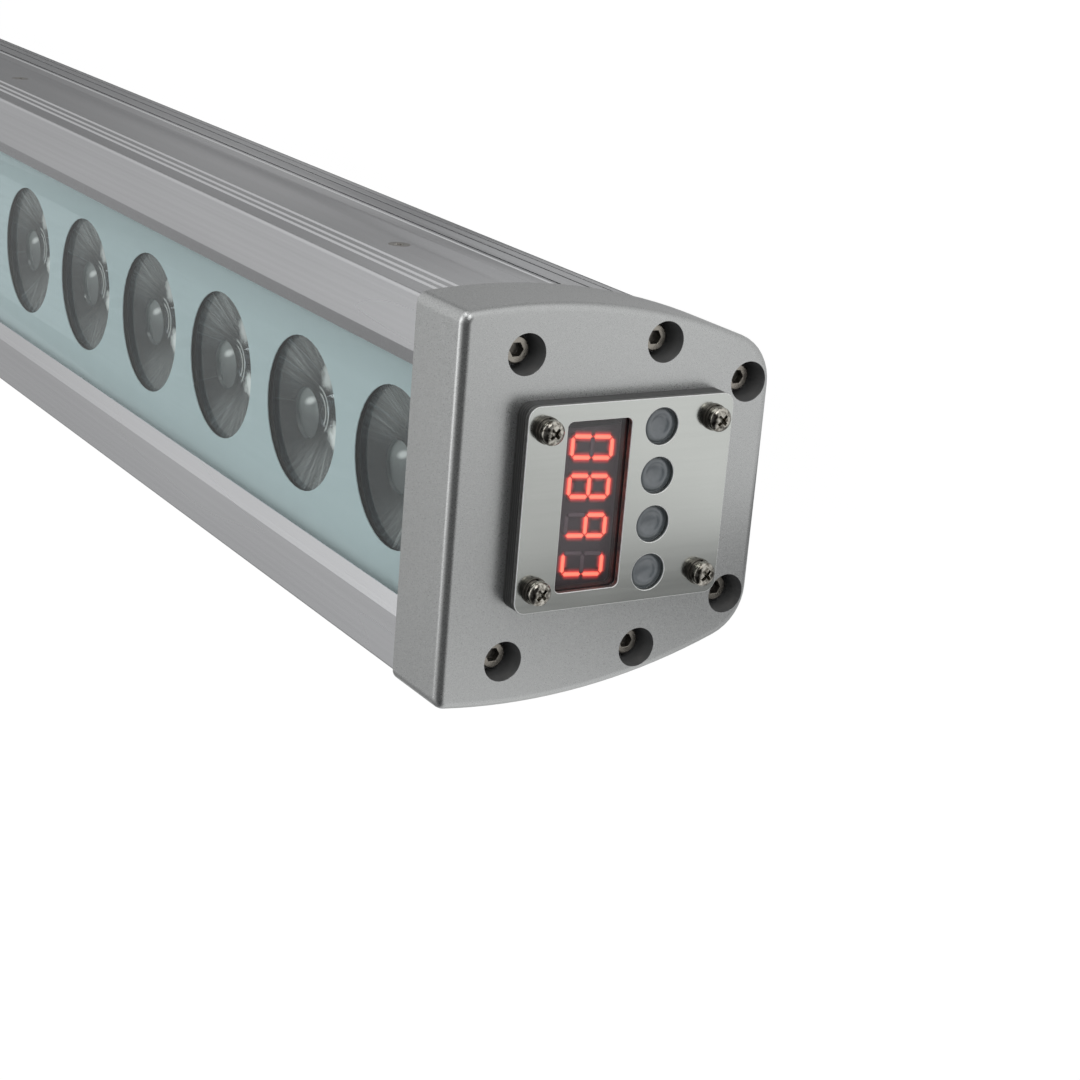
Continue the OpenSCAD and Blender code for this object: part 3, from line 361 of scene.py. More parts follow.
def clear_shader(root, colour, index, gloss):
    """Clear stock: it bends what is seen through it, and lets soft light straight in."""
    body = root.add("ShaderNodeBsdfPrincipled", None, {
        "Base Color": colour,
        "Roughness": gloss,
        "IOR": index,
        "Transmission Weight": 1.0,
    })
    straight = root.add("ShaderNodeBsdfTransparent", None, {"Color": colour})
    shadow = root.add("ShaderNodeLightPath", out="Is Shadow Ray")
    diffuse = root.add("ShaderNodeLightPath", out="Is Diffuse Ray")
    passing = root.math("MAXIMUM", shadow, diffuse)
    return root.add("ShaderNodeMixShader", None, {0: passing, 1: body, 2: straight})


glass, root = start_material("window_glass")
finish_material(root, clear_shader(root, (0.95, 0.98, 0.97, 1), 1.2, 0.0))
wear(glass, "front_glass")

enamel, root = start_material("window_enamel")
screen_grain = noise(root, stretched(root, 1, 1, 1), 1500, 2)
patch = noise(root, stretched(root, 8, 25, 25), 1.0, 2)
# The print is painted lighter towards the window's long edges. This painted light offsets the shade the
# frame casts on it there.
place = root.add("ShaderNodeTexCoord", out="Object")
off_axis = root.math("ABSOLUTE", root.add("ShaderNodeSeparateXYZ", None, {"Vector": place}, out="Y"))
print_tone = (0.5 * screen_grain + 0.5 * patch).blend((0.57, 0.66, 0.685, 1), (0.64, 0.735, 0.765, 1))
finish_material(root, root.add("ShaderNodeBsdfPrincipled", None, {
    "Base Color": ramp(root, off_axis, 19 * mm, 23 * mm, 0.0, 1.0).blend(print_tone, (0.66, 0.75, 0.78, 1)),
    "Roughness": 0.45 + 0.15 * screen_grain,
}))
wear(enamel, "glass_mask")

rubber, root = start_material("black_silicone")
dust = noise(root, stretched(root, 1, 1, 1), 900, 3)
finish_material(root, root.add("ShaderNodeBsdfPrincipled", None, {
    "Base Color": dust.blend((0.018, 0.018, 0.019, 1), (0.05, 0.05, 0.052, 1)),
    "Roughness": 0.42 + 0.25 * dust,
    "Normal": root.add("ShaderNodeBump", None, {"Strength": 0.3, "Distance": 0.02 * mm, "Height": dust}),
}))
wear(rubber, "glass_seals", "display_cap_seal", "cable_cap_seal", "gland_washers", "gland_inserts")

# Light board: a long white circuit board on the bar's shelf, with one lamp under each
# lens and small cross-head screws between them.
white_mask, root = start_material("white_solder_mask")
mottle = noise(root, stretched(root, 1, 1, 1), 300, 3)
finish_material(root, root.add("ShaderNodeBsdfPrincipled", None, {
    "Base Color": mottle.blend((0.62, 0.62, 0.60, 1), (0.74, 0.74, 0.72, 1)),
    "Roughness": 0.35 + 0.2 * mottle,
}))
wear(white_mask, "led_board")

phosphor, root = start_material("lamp_phosphor")
speck = noise(root, stretched(root, 1, 1, 1), 2500, 2)
finish_material(root, root.add("ShaderNodeBsdfPrincipled", None, {
    "Base Color": speck.blend((0.75, 0.62, 0.25, 1), (0.85, 0.78, 0.5, 1)),
    "Roughness": 0.2 + 0.2 * speck,
}))
wear(phosphor, "leds")

plated, root = start_material("plated_steel")
smear = noise(root, stretched(root, 1, 1, 1), 700, 3)
finish_material(root, root.add("ShaderNodeBsdfPrincipled", None, {
    "Base Color": smear.blend((0.30, 0.285, 0.26, 1), (0.56, 0.54, 0.50, 1)),
    "Metallic": 1.0,
    "Roughness": 0.14 + 0.16 * smear,
}))
wear(plated, "led_board_screws", "control_board_screws")
side_screws = refined("side_screws", 0.15 * mm)
side_screws.data.materials.append(plated)

# Lens holders: black moulded cones that carry the lenses and stand on the light board.
moulded, root = start_material("black_moulding")
spark = noise(root, stretched(root, 1, 1, 1), 1800, 2)
finish_material(root, root.add("ShaderNodeBsdfPrincipled", None, {
    "Base Color": spark.blend((0.012, 0.012, 0.013, 1), (0.028, 0.028, 0.03, 1)),
    "Roughness": 0.3 + 0.25 * spark,
    "Normal": root.add("ShaderNodeBump", None, {"Strength": 0.4, "Distance": 0.03 * mm, "Height": spark}),
}))
wear(moulded, "lens_holders", "tact_switches", "plunger_1", "plunger_2", "plunger_3", "plunger_4")

# Lenses: clear acrylic, one over each lamp. The outer wall is a fluted paraboloid that
# mirrors the light forward, and the front has a round recess with a bulging floor.
low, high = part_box("tir_lenses")
lens_count = 24
lens_r = (high.y - low.y) / 2
lens_depth = high.z - low.z
lens_pitch = (high.x - low.x - 2 * lens_r) / (lens_count - 1)
lens_rim = 0.2 * mm
lens_foot_r = 6.2 * mm
recess_r = 5.4 * mm
recess_depth = 0.6 * mm
recess_draft = 0.3 * mm
recess_bulge = 0.5 * mm
well_r = 3.6 * mm
well_depth = 7.0 * mm
well_draft = 0.8 * mm
flute_count = 60
flute_depth = 0.12 * mm
wall_rows = 10
dome_rows = 4


def lens_profile():
    """Points round half of a lens as (radius, height, fluted), from the recess's middle."""
    points = []
    for row in range(dome_rows + 1):
        share = row / dome_rows
        points.append(((recess_r - recess_draft) * share, -recess_depth + recess_bulge * (1 - share**2), 0))
    points.append((recess_r, 0, 0))
    points.append((lens_r, 0, 0))
    for row in range(wall_rows + 1):
        share = row / wall_rows
        radius = math.sqrt(lens_r**2 - share * (lens_r**2 - lens_foot_r**2))
        fluted = 1 if 0 < row < wall_rows else 0
        points.append((radius, -lens_rim - share * (lens_depth - lens_rim), fluted))
    points.append((well_r, -lens_depth, 0))
    for row in range(dome_rows + 1):
        share = 1 - row / dome_rows
        height = -lens_depth + well_depth + well_draft * (1 - share**2)
        points.append(((well_r - well_draft) * share, height, 0))
    return points


on_axis = 1e-7


def turned(name, profile, places, steps, flute=0.0):
    """Bodies of revolution about upright axes, each with its lowest and highest point on the axis."""
    shape = bmesh.new()
    for place in places:
        rings = []
        for radius, height, fluted in profile:
            if radius < on_axis:
                rings.append([shape.verts.new((place[0], place[1], place[2] + height))])
                continue
            ring = []
            for step in range(steps):
                angle = 2 * math.pi * step / steps
                reach = radius - (flute if fluted and step % 2 else 0)
                ring.append(shape.verts.new((
                    place[0] + reach * math.cos(angle),
                    place[1] + reach * math.sin(angle),
                    place[2] + height,
                )))
            rings.append(ring)
        for first, second in zip(rings, rings[1:]):
            for step in range(steps):
                following = (step + 1) % steps
                if len(first) == 1:
                    shape.faces.new((first[0], second[step], second[following]))
                elif len(second) == 1:
                    shape.faces.new((first[step], second[0], first[following]))
                else:
                    shape.faces.new((first[step], second[step], second[following], first[following]))
    bmesh.ops.recalc_face_normals(shape, faces=shape.faces)
    mesh = bpy.data.meshes.new(name)
    shape.to_mesh(mesh)
    shape.free()
    mesh.shade_smooth()
    mesh.set_sharp_from_angle(angle=math.radians(40))
    piece = bpy.data.objects.new(name, mesh)
    bpy.context.scene.collection.objects.link(piece)
    return piece


acrylic, root = start_material("lens_acrylic")
finish_material(root, clear_shader(root, (0.84, 0.89, 0.92, 1), 1.49, 0.02))
lens_places = [(low.x + lens_r + i * lens_pitch, (low.y + high.y) / 2, high.z) for i in range(lens_count)]
lenses = turned("lenses", lens_profile(), lens_places, 2 * flute_count, flute_depth)
lenses.data.materials.append(acrylic)
gleam_turn = math.radians(20.9)
lens_shift = 5.3


def lens_place(root):
    """Where a point is on its own lens: toward where the painted gleams lie, square to that, and which
    lens.
    """
    place = root.add("ShaderNodeTexCoord", out="Object")
    along = root.add("ShaderNodeSeparateXYZ", None, {"Vector": place}, out="X") - lens_places[0][0]
    across = root.add("ShaderNodeSeparateXYZ", None, {"Vector": place}, out="Y") - lens_places[0][1]
    off_axis = root.math("WRAP", along, lens_pitch / 2, -lens_pitch / 2)
    number = root.math("FLOOR", along / lens_pitch + 0.5)
    ahead = (off_axis * math.cos(gleam_turn) + across * math.sin(gleam_turn)) / lens_r
    aside = (across * math.cos(gleam_turn) - off_axis * math.sin(gleam_turn)) / lens_r
    return ahead, aside, number


def painted_lens_streaks(root, ahead, aside, number, fineness):
    """Painted reflection rays: fine uneven rays that fan out from a point on the lens, different on each
    lens.
    """
    angle = root.math("ARCTAN2", aside, ahead * -1.0)
    place = root.add("ShaderNodeCombineXYZ", None, {"X": angle * fineness, "Y": number * lens_shift})
    return ramp(root, noise(root, place, 1.0, 4, 0.65), 0.4, 0.72, 0.0, 1.0)


frosted, root = start_material("lens_frosted_floor")
ahead, aside, number = lens_place(root)
pit = noise(root, stretched(root, 1, 1, 1), 350, 2)
# The floor's colour is painted lighter towards one side as a painted sheen, and carries a painted white
# glint.
pits_and_painted_sheen = 0.3 * pit + 0.7 * ramp(root, aside + 0.3 * ahead, -0.1, 0.25, 0.0, 1.0)
painted_glint = ramp(root, ((ahead - 0.1)**2 + (3.0 * (aside - 0.14))**2)**0.5, 0.04, 0.2, 1.0, 0.0)
finish_material(root, root.add("ShaderNodeBsdfPrincipled", None, {
    "Base Color": painted_glint.blend(pits_and_painted_sheen.blend((0.13, 0.14, 0.145, 1), (0.32, 0.34, 0.34, 1)), (1, 1, 1, 1)),
    "Roughness": 0.1 + 0.15 * pit,
    "Transmission Weight": 0.25,
}))
lenses.data.materials.append(frosted)

mirror_wall, root = start_material("lens_fluted_wall")
ahead, aside, number = lens_place(root)
# The wall's colour carries painted reflections: light rays that fan out towards its sides over a dark base.
painted_streaks = painted_lens_streaks(root, ahead, aside, number, 13.0)
fan = ramp(root, root.math("ABSOLUTE", aside), 0.15, 0.95, 0.06, 1.0)
finish_material(root, root.add("ShaderNodeBsdfPrincipled", None, {
    "Base Color": (painted_streaks * fan).blend((0.05, 0.066, 0.078, 1), (0.50, 0.55, 0.56, 1)),
    "Metallic": 0.6,
    "Roughness": 0.16 + 0.14 * painted_streaks,
}))
lenses.data.materials.append(mirror_wall)

# Front of each lens: painted highlights, bright patches and arcs near one side, and painted reflection rays
# that fan across it
lens_face, root = start_material("lens_painted_gleam")
ahead, aside, number = lens_place(root)
painted_streaks = painted_lens_streaks(root, ahead - 0.85, aside, number, 27.0)
beside = root.math("ABSOLUTE", aside)
cloud = noise(root, stretched(root, 1, 1, 1), 420, 3, 0.6)
spread = (((ahead - 0.72) / 0.22)**2 + ((beside - 0.37) / 0.2)**2)**0.5
patches = ramp(root, spread + 1.1 * (cloud - 0.5), 0.35, 1.15, 1.0, 0.0)
patches = patches * ramp(root, aside, -0.1, 0.1, 1.0, 0.7)
patches = patches * ramp(root, (ahead**2 + aside**2)**0.5, 0.86, 0.96, 1.0, 0.0)
from_well = ((ahead - 0.3)**2 + aside**2)**0.5
arc = root.math("ABSOLUTE", root.math("ABSOLUTE", from_well - 0.27) - 0.035)
arcs = ramp(root, arc, 0.004, 0.026, 0.5, 0.0) * ramp(root, ahead, 0.38, 0.48, 0.0, 1.0)
rays = (0.25 + 0.75 * painted_streaks) * ramp(root, beside, 0.2, 0.7, 0.0, 0.34)
rays = rays * ramp(root, ahead, -0.8, 0.0, 0.1, 1.0)
gleam = root.math("MAXIMUM", patches, root.math("MAXIMUM", arcs, rays))
clear = clear_shader(root, (0.84, 0.89, 0.92, 1), 1.49, 0.02)
bright = root.add("ShaderNodeBsdfPrincipled", None, {
    "Base Color": cloud.blend((0.86, 0.89, 0.89, 1), (1.0, 1.0, 1.0, 1)),
    "Roughness": 0.2 + 0.2 * cloud,
})
finish_material(root, root.add("ShaderNodeMixShader", None, {0: gleam, 1: clear, 2: bright}))
lenses.data.materials.append(lens_face)
band_slots = [1] * dome_rows + [1, 3, 1] + [2] * wall_rows
bands_per_lens = len(lens_profile()) - 1
for polygon in lenses.data.polygons:
    band = polygon.index // (2 * flute_count) % bands_per_lens
    polygon.material_index = band_slots[band] if band < len(band_slots) else 0
stands_for(lenses, "tir_lenses")

# Power parts: a folded sheet case in the rear of the bar, and a green driver board on
# brass legs with coils and capacitors. A flat grey cable runs to the control board.
sheet, root = start_material("supply_sheet")
rolled = noise(root, stretched(root, 5, 600, 600), 1.0, 2)
finish_material(root, root.add("ShaderNodeBsdfPrincipled", None, {
    "Base Color": rolled.blend((0.5, 0.5, 0.5, 1), (0.66, 0.66, 0.66, 1)),
    "Metallic": 1.0,
    "Roughness": 0.3 + 0.2 * rolled,
}))
wear(sheet, "power_supply")

green_mask, root = start_material("green_solder_mask")
weave = noise(root, stretched(root, 1, 1, 1), 900, 2)
finish_material(root, root.add("ShaderNodeBsdfPrincipled", None, {
    "Base Color": weave.blend((0.01, 0.09, 0.035, 1), (0.02, 0.16, 0.06, 1)),
    "Roughness": 0.25 + 0.2 * weave,
}))
wear(green_mask, "driver_board", "control_board")

coated, root = start_material("coated_components")
print_tone = noise(root, stretched(root, 1, 1, 1), 60, 1)
finish_material(root, root.add("ShaderNodeBsdfPrincipled", None, {
    "Base Color": print_tone.blend((0.01, 0.015, 0.05, 1), (0.05, 0.05, 0.06, 1)),
    "Roughness": 0.3 + 0.2 * print_tone,
}))
wear(coated, "driver_parts")

brass, root = start_material("turned_brass")
turning = noise(root, stretched(root, 1, 1, 1), 1200, 2)
finish_material(root, root.add("ShaderNodeBsdfPrincipled", None, {
    "Base Color": turning.blend((0.55, 0.38, 0.14, 1), (0.7, 0.5, 0.2, 1)),
    "Metallic": 1.0,
    "Roughness": 0.25 + 0.15 * turning,
}))
wear(brass, "driver_standoffs")

ribbon, root = start_material("ribbon_sheath")
cores = noise(root, stretched(root, 1, 1, 1), 400, 2)
finish_material(root, root.add("ShaderNodeBsdfPrincipled", None, {
    "Base Color": cores.blend((0.25, 0.25, 0.26, 1), (0.36, 0.36, 0.37, 1)),
    "Roughness": 0.4 + 0.15 * cores,
}))
wear(ribbon, "ribbon_cable")

# End caps: die-cast aluminium with a silver powder coat, whose flakes of a tenth of a
# millimetre catch the light. Six dark socket screws hold each one, deep in milled seats with
# painted shade on their walls and floors, and painted shade in each screw's socket.
cap_coat, root = start_material("silver_powder_coat")
place = stretched(root, 1, 1, 1)
flake = root.add("ShaderNodeTexVoronoi", None, {"Vector": place, "Scale": 9000.0}, out="Color")
flake_tone = root.add("ShaderNodeSeparateColor", None, {"Color": flake})
peel = noise(root, place, 900, 2)
drift = noise(root, place, 30, 2)
speckle = 0.8 * flake_tone + 0.1 * peel + 0.1 * drift
coat_relief = {"Strength": 0.12, "Distance": 0.04 * mm, "Height": 0.6 * peel + 0.4 * flake_tone}
finish_material(root, root.add("ShaderNodeBsdfPrincipled", None, {
    "Base Color": speckle.blend((0.385, 0.392, 0.39, 1), (0.54, 0.548, 0.543, 1)),
    "Metallic": 0.85,
    "Roughness": 0.26 + 0.12 * flake_tone,
    "Coat Weight": 0.2,
    "Coat Roughness": 0.25,
    "Normal": root.add("ShaderNodeBump", None, coat_relief),
}))

# The seats' walls and floors are painted darker than the coat. This is painted shade in the deep
# counterbores, with tool marks in it.
seat_painted_shade, root = start_material("cap_screw_seat_painted_shade")
tooling = noise(root, stretched(root, 900, 1, 1), 1.0, 2)
finish_material(root, root.add("ShaderNodeBsdfPrincipled", None, {
    "Base Color": tooling.blend((0.20, 0.20, 0.202, 1), (0.36, 0.36, 0.363, 1)),
    "Metallic": 0.6,
    "Roughness": 0.45 + 0.15 * tooling,
}))
# Inside each socket the screw is painted darker: painted shade in the recess.
socket_painted_shade, root = start_material("cap_screw_socket_painted_shade")
socket_mottle = noise(root, stretched(root, 1, 1, 1), 1400, 2)
finish_material(root, root.add("ShaderNodeBsdfPrincipled", None, {
    "Base Color": socket_mottle.blend((0.04, 0.036, 0.03, 1), (0.30, 0.28, 0.25, 1)),
    "Metallic": 0.8,
    "Roughness": 0.25 + 0.2 * socket_mottle,
}))
dark_screw, root = start_material("cap_screw_steel")
stain = noise(root, stretched(root, 1, 1, 1), 900, 3)
finish_material(root, root.add("ShaderNodeBsdfPrincipled", None, {
    "Base Color": stain.blend((0.16, 0.145, 0.125, 1), (0.48, 0.45, 0.40, 1)),
    "Metallic": 1.0,
    "Roughness": 0.2 + 0.15 * stain,
}))
half_of_screws = ((29.72, 88.7), (30.48, 58.53), (21.6, 38.4))
cap_screw_axes = [(side * y, z) for side in (-1, 1) for y, z in half_of_screws]
seat_r = 4.2 * mm
socket_r = 1.6 * mm
rim_depth = 0.35 * mm
socket_depth = 0.1 * mm


def second_finish(piece, finish, axes, radius, depth):
    """Gives a piece's faces near any of the axes, and below its outer face, another finish."""
    piece.data.materials.append(finish)
    outermost = max(abs(vert.co.x) for vert in piece.data.vertices)
    for polygon in piece.data.polygons:
        x, y, z = polygon.center
        near = any(math.hypot(y - axis[0] * mm, z - axis[1] * mm) < radius for axis in axes)
        if near and abs(x) < outermost - depth:
            polygon.material_index = len(piece.data.materials) - 1


for end in ("display", "cable"):
    cap = refined(end + "_end_cap", 0.3 * mm)
    cap.data.materials.append(cap_coat)
    second_finish(cap, seat_painted_shade, cap_screw_axes, seat_r, rim_depth)
    screws = refined(end + "_cap_screws", 0.12 * mm)
    screws.data.materials.append(dark_screw)
    second_finish(screws, socket_painted_shade, cap_screw_axes, socket_r, socket_depth)

# Display: a black four-digit module on the control board. Each lit segment glows from its
# middle and spills red light round itself; the unlit ones are faint grey bars.
low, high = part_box("lit_segments")
module_low, module_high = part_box("display_module")
digit_height = high.z - low.z
digit_width = 5.0 * mm
digit_pitch = 7.65 * mm
digit_lean = math.radians(5)
segment_width = 0.9 * mm
segment_gap = 0.14 * mm
segment_lift = high.x - low.x
halo_width = 0.9 * mm
halo_lift = 0.02 * mm
digit_flags = ((1, 0, 0, 1, 1, 1, 0), (0, 0, 1, 1, 1, 1, 1), (1, 1, 1, 1, 1, 1, 1), (1, 1, 1, 1, 1, 1, 0))
segment_shares = ((0, 1), (1, 0.5), (1, -0.5), (0, -1), (-1, -0.5), (-1, 0.5), (0, 0))
segment_upright = (0, 1, 1, 0, 1, 1, 0)
display_middle = ((module_low.y + module_high.y) / 2, (module_low.z + module_high.z) / 2)


def bar_outline(length, half_width):
    """Outline of a segment: a bar with pointed ends, lying along its own first axis."""
    reach, shoulder = length / 2, length / 2 - half_width
    return [
        (reach, 0), (shoulder, half_width), (0, half_width), (-shoulder, half_width),
        (-reach, 0), (-shoulder, -half_width), (0, -half_width), (shoulder, -half_width),
    ]


def segment_pieces(lit):
    """Each lit or unlit segment's middle, whether it is upright, and its length."""
    half_width = (digit_width - segment_width) / 2
    half_height = (digit_height - segment_width) / 2
    for index, flags in enumerate(digit_flags):
        across = (index - (len(digit_flags) - 1) / 2) * digit_pitch
        for share, upright, flag in zip(segment_shares, segment_upright, flags):
            if flag == lit:
                length = (half_height if upright else 2 * half_width) - 2 * segment_gap
                yield across, share[0] * half_width, share[1] * half_height, upright, length


def on_display(across, u, v, x):
    """A point of a digit, leaned over and set on the module's face."""
    return Vector((x, display_middle[0] + across + u + v * math.tan(digit_lean), display_middle[1] + v))


def segment_mesh(name, lit, halo):
    """Raised bars with a bright middle, or flat rings round them whose glow dies outward."""
    shape = bmesh.new()
    glow_layer = shape.verts.layers.float.new("glow")
    for across, u, v, upright, length in segment_pieces(lit):
        def put(point, x, glow):
            a, b = (point[1], point[0]) if upright else point
            vert = shape.verts.new(on_display(across, u + a, v + b, x))
            vert[glow_layer] = glow
            return vert

        half = segment_width / 2
        inner = bar_outline(length, half)
        if halo:
            outer = bar_outline(length + 2 * halo_width, half + halo_width)
            x = module_high.x + halo_lift
            near = [put(p, x, 1) for p in inner]
            far = [put(p, x, 0) for p in outer]
            for i in range(len(near)):
                j = (i + 1) % len(near)
                shape.faces.new((near[i], near[j], far[j], far[i]))
        else:
            top = module_high.x + segment_lift
            foot = [put(p, module_high.x, 0) for p in inner]
            edge = [put(p, top - segment_lift / 3, 0.25) for p in inner]
            crown = [put(p, top, 1) for p in bar_outline(length - half, half / 2)]
            for lower, upper in ((foot, edge), (edge, crown)):
                for i in range(len(lower)):
                    j = (i + 1) % len(lower)
                    shape.faces.new((lower[i], lower[j], upper[j], upper[i]))
            shape.faces.new(crown)
            shape.faces.new(list(reversed(foot)))
    bmesh.ops.recalc_face_normals(shape, faces=shape.faces)
    if halo:
        for face in shape.faces:
            if face.normal.x < 0:
                face.normal_flip()
    mesh = bpy.data.meshes.new(name)
    shape.to_mesh(mesh)
    shape.free()
    mesh.shade_smooth()
    piece = bpy.data.objects.new(name, mesh)
    bpy.context.scene.collection.objects.link(piece)
    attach(piece, "housing")
    return piece


module_tone = (0.045, 0.032, 0.038, 1)
module_face, root = start_material("display_face")
haze = noise(root, stretched(root, 1, 1, 1), 500, 2)
finish_material(root, root.add("ShaderNodeBsdfPrincipled", None, {
    "Base Color": haze.blend((0.04, 0.028, 0.034, 1), (0.06, 0.044, 0.052, 1)),
    "Roughness": 0.3 + 0.15 * haze,
}))
wear(module_face, "display_module")

lit_finish, root = start_material("lit_segment")
level = root.add("ShaderNodeAttribute", {"attribute_name": "glow"}, out="Fac")
finish_material(root, root.add("ShaderNodeBsdfPrincipled", None, {
    "Base Color": (0.35, 0.03, 0.02, 1),
    "Roughness": 0.4,
    "Emission Color": level.blend((1.0, 0.02, 0.01, 1), (1.0, 0.27, 0.17, 1)),
    "Emission Strength": 1.25,
}))
lit = segment_mesh("lit_bars", 1, False)
lit.data.materials.append(lit_finish)
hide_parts("lit_segments")

halo_finish, root = start_material("segment_spill")
level = root.add("ShaderNodeAttribute", {"attribute_name": "glow"}, out="Fac")
finish_material(root, root.add("ShaderNodeBsdfPrincipled", None, {
    "Base Color": module_tone,
    "Roughness": 0.35,
    "Emission Color": (level**2).blend((0.0, 0.0, 0.0, 1), (0.75, 0.035, 0.03, 1)),
    "Emission Strength": 1.0,
}))
halo = segment_mesh("segment_spill", 1, True)
halo.data.materials.append(halo_finish)

unlit_finish, root = start_material("unlit_segment")
level = root.add("ShaderNodeAttribute", {"attribute_name": "glow"}, out="Fac")
finish_material(root, root.add("ShaderNodeBsdfPrincipled", None, {
    "Base Color": level.blend((0.12, 0.095, 0.105, 1), (0.19, 0.155, 0.17, 1)),
    "Roughness": 0.45,
}))
unlit = segment_mesh("unlit_bars", 0, False)
unlit.data.materials.append(unlit_finish)
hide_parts("dark_segments")

pane, root = start_material("display_pane")
finish_material(root, clear_shader(root, (0.88, 0.84, 0.86, 1), 1.45, 0.0))
wear(pane, "display_pane")

# Control panel: thin stainless sheet on a thick black rubber, held by four pan-head screws
# with spring washers and plain washers. The sheet's grain runs across the display.
stainless, root = start_material("panel_stainless")
brushed = noise(root, stretched(root, 1, 900, 60), 1.0, 3)
blotch = noise(root, stretched(root, 1, 1, 1), 60, 2)
grain_relief = {"Strength": 0.12, "Distance": 0.02 * mm, "Height": brushed + 6.0 * blotch}
finish_material(root, root.add("ShaderNodeBsdfPrincipled", None, {
    "Base Color": (0.5 * brushed + 0.5 * blotch).blend((0.45, 0.465, 0.445, 1), (0.56, 0.575, 0.55, 1)),
    "Metallic": 1.0,
    "Roughness": 0.12 + 0.10 * brushed,
    "Normal": root.add("ShaderNodeBump", None, grain_relief),
}))
cut_edge, root = start_material("panel_cut_edge")
shear = noise(root, stretched(root, 200, 1500, 1500), 1.0, 2)
finish_material(root, root.add("ShaderNodeBsdfPrincipled", None, {
    "Base Color": shear.blend((0.12, 0.12, 0.118, 1), (0.30, 0.30, 0.29, 1)),
    "Metallic": 0.8,
    "Roughness": 0.4 + 0.2 * shear,
}))
panel = refined("control_panel", 0.14 * mm, clamped=False)
panel.data.materials.append(stainless)
panel.data.materials.append(cut_edge)
# The sheet's rounded front edges are painted near-white: a painted highlight along the plate's rims.
edge_painted_highlight, root = start_material("panel_edge_painted_highlight")
rim_highlight_grain = noise(root, stretched(root, 1, 1, 1), 1200, 2)
finish_material(root, root.add("ShaderNodeBsdfPrincipled", None, {
    "Base Color": rim_highlight_grain.blend((0.85, 0.86, 0.84, 1), (1.0, 1.0, 0.98, 1)),
    "Metallic": 0.2,
    "Roughness": 0.35 + 0.2 * rim_highlight_grain,
}))
panel.data.materials.append(edge_painted_highlight)
button_axes = [sum(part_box(f"button_{number}"), Vector()) / 2 for number in range(1, 5)]
hole_r = 4.2 * mm
edge_on = 0.2
face_on = 0.97
least_rise = 0.03 * mm
for polygon in panel.data.polygons:
    x, y, z = polygon.center
    in_hole = any(math.hypot(y - axis.y, z - axis.z) < hole_r for axis in button_axes)
    if abs(polygon.normal.x) < edge_on and not in_hole:
        polygon.material_index = 1
    heights = [panel.data.vertices[index].co.x for index in polygon.vertices]
    # Rounded edge faces take the painted highlight.
    if edge_on <= abs(polygon.normal.x) < face_on and max(heights) - min(heights) > least_rise:
        polygon.material_index = 2

ribbed_rubber, root = start_material("ribbed_rubber")
ribs = root.add("ShaderNodeTexWave", {"bands_direction": "X"}, {
    "Vector": stretched(root, 1, 1, 1), "Scale": 450.0, "Distortion": 0.0,
})
lint = noise(root, stretched(root, 1, 1, 1), 900, 3)
finish_material(root, root.add("ShaderNodeBsdfPrincipled", None, {
    "Base Color": (0.6 * ribs + 0.4 * lint).blend((0.02, 0.02, 0.02, 1), (0.085, 0.085, 0.083, 1)),
    "Roughness": 0.36 + 0.2 * lint,
    "Normal": root.add("ShaderNodeBump", None, {"Strength": 0.5, "Distance": 0.1 * mm, "Height": ribs}),
}))
panel_rubber = refined("panel_seal", 0.25 * mm)
panel_rubber.data.materials.append(ribbed_rubber)

dark_zinc, root = start_material("dark_zinc")
soot = noise(root, stretched(root, 1, 1, 1), 1100, 3)
finish_material(root, root.add("ShaderNodeBsdfPrincipled", None, {
    "Base Color": soot.blend((0.05, 0.046, 0.04, 1), (0.22, 0.205, 0.18, 1)),
    "Metallic": 0.9,
    "Roughness": 0.2 + 0.25 * soot,
}))
for node, edge in (("panel_washers", 0.06), ("panel_spring_washers", 0.08)):
    ring = refined(node, edge * mm)
    ring.data.materials.append(dark_zinc)
nickel, root = start_material("dull_nickel")
tarnish = noise(root, stretched(root, 1, 1, 1), 1000, 3, 0.6)
patina = ramp(root, tarnish, 0.35, 0.65, 0.0, 1.0)
finish_material(root, root.add("ShaderNodeBsdfPrincipled", None, {
    "Base Color": patina.blend((0.10, 0.09, 0.075, 1), (0.52, 0.50, 0.45, 1)),
    "Metallic": 1.0,
    "Roughness": 0.14 + 0.12 * patina,
}))
panel_screws = refined("panel_screws", 0.12 * mm)
panel_screws.data.materials.append(nickel)

# Buttons: grey translucent silicone caps, loose in the panel's holes and held in by their
# flanges. A shallow dish on each marks where to press.
silicone, root = start_material("button_silicone")
skin = noise(root, stretched(root, 1, 1, 1), 700, 3)
finish_material(root, root.add("ShaderNodeBsdfPrincipled", None, {
    "Base Color": skin.blend((0.10, 0.115, 0.125, 1), (0.19, 0.21, 0.225, 1)),
    "Roughness": 0.3 + 0.2 * skin,
    "Coat Weight": 1.0,
    "Coat Roughness": 0.08,
    "Normal": root.add("ShaderNodeBump", None, {"Strength": 0.3, "Distance": 0.06 * mm, "Height": skin}),
}))
button_rows = (
    (0, 0.34), (0.34, 0.3), (0.44, 0.16), (0.5, 0.03), (0.58, 0), (0.66, 0.03), (0.74, 0.2), (0.79, 0.42),
    (0.79, 0.5), (1, 0.5), (1, 1.3), (0.37, 1.3),
)
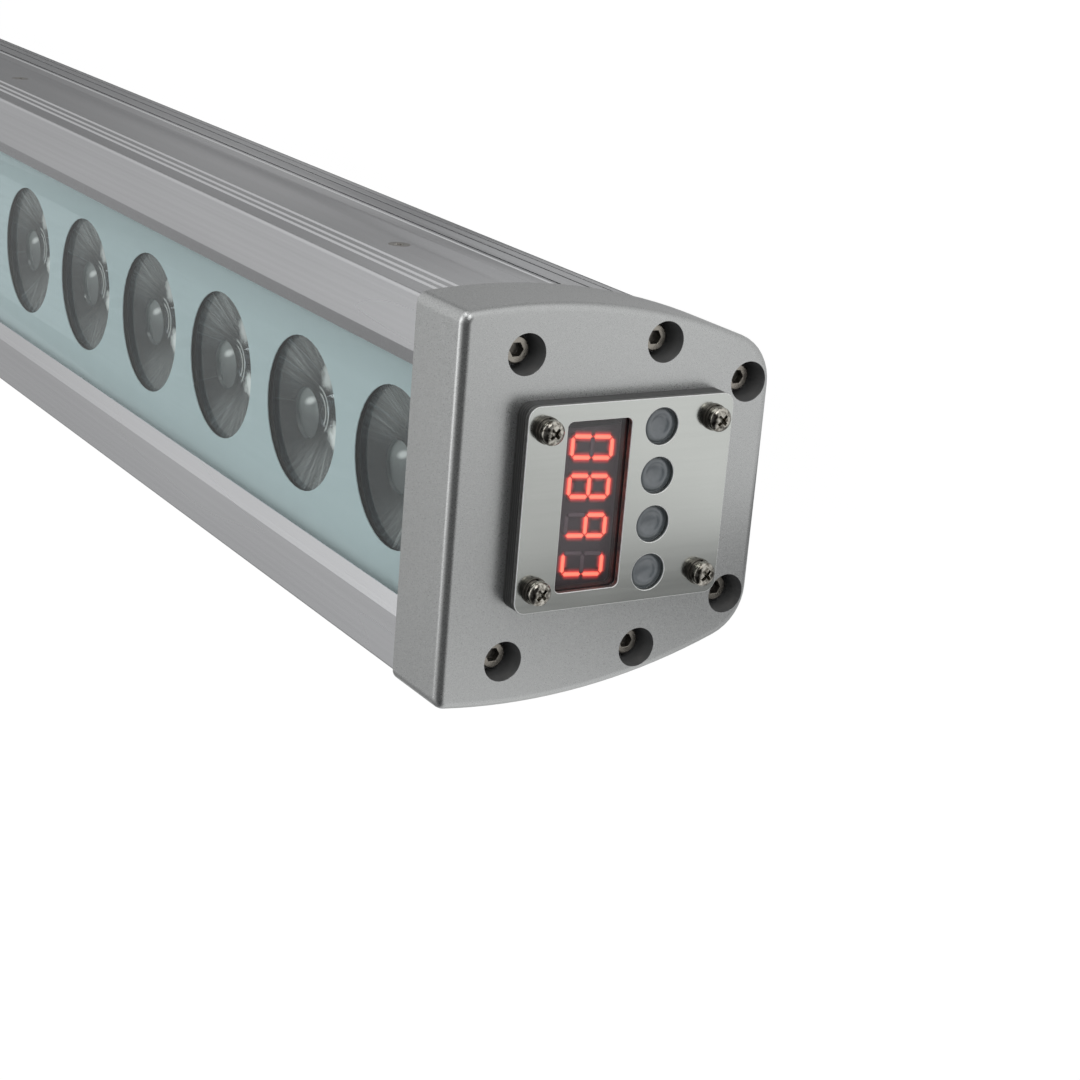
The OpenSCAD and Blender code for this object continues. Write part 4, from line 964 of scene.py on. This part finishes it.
for number in range(1, 5):
    low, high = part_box(f"button_{number}")
    flange_r = (high.y - low.y) / 2
    profile = [(share * flange_r, -sink * mm, 0) for share, sink in button_rows]
    profile += [(button_rows[-1][0] * flange_r, low.x - high.x, 0), (0, low.x - high.x, 0)]
    button = turned(f"button_{number}_cap", profile, [(0, 0, 0)], 64)
    laid = Matrix.Rotation(math.pi / 2, 4, "Y")
    button.data.transform(Matrix.Translation((high.x, (low.y + high.y) / 2, (low.z + high.z) / 2)) @ laid)
    button.data.materials.append(silicone)
    stands_for(button, f"button_{number}")

# Cable glands: black nylon bodies, lock nuts and dome nuts on rubber washers, with a
# rubber insert in each that grips the cable.
nylon, root = start_material("black_nylon")
pebble = noise(root, stretched(root, 1, 1, 1), 1300, 2)
finish_material(root, root.add("ShaderNodeBsdfPrincipled", None, {
    "Base Color": pebble.blend((0.015, 0.015, 0.016, 1), (0.04, 0.04, 0.042, 1)),
    "Roughness": 0.35 + 0.25 * pebble,
    "Normal": root.add("ShaderNodeBump", None, {"Strength": 0.35, "Distance": 0.03 * mm, "Height": pebble}),
}))
for node in ("gland_bodies", "gland_nuts", "gland_lock_nuts"):
    gland = refined(node, 0.3 * mm)
    gland.data.materials.append(nylon)

# Brackets: folded stainless saddles on the bar's rear rail, and tilting feet outside them,
# with black friction washers between and bright bolts, nuts and washers.
folded, root = start_material("bracket_stainless")
mill = noise(root, stretched(root, 30, 700, 700), 1.0, 3)
finish_material(root, root.add("ShaderNodeBsdfPrincipled", None, {
    "Base Color": mill.blend((0.46, 0.46, 0.455, 1), (0.60, 0.60, 0.595, 1)),
    "Metallic": 1.0,
    "Roughness": 0.28 + 0.18 * mill,
}))
for node in ("saddle_cable_end", "saddle_display_end", "foot_cable_end", "foot_display_end"):
    bracket = refined(node, 0.4 * mm)
    bracket.data.materials.append(folded)
for node in ("rail_bolts", "rail_nuts", "pivot_bolts", "pivot_nuts", "rail_washers", "pivot_washers"):
    fixing = refined(node, 0.2 * mm)
    fixing.data.materials.append(plated)
wear(moulded, "tilt_washers")
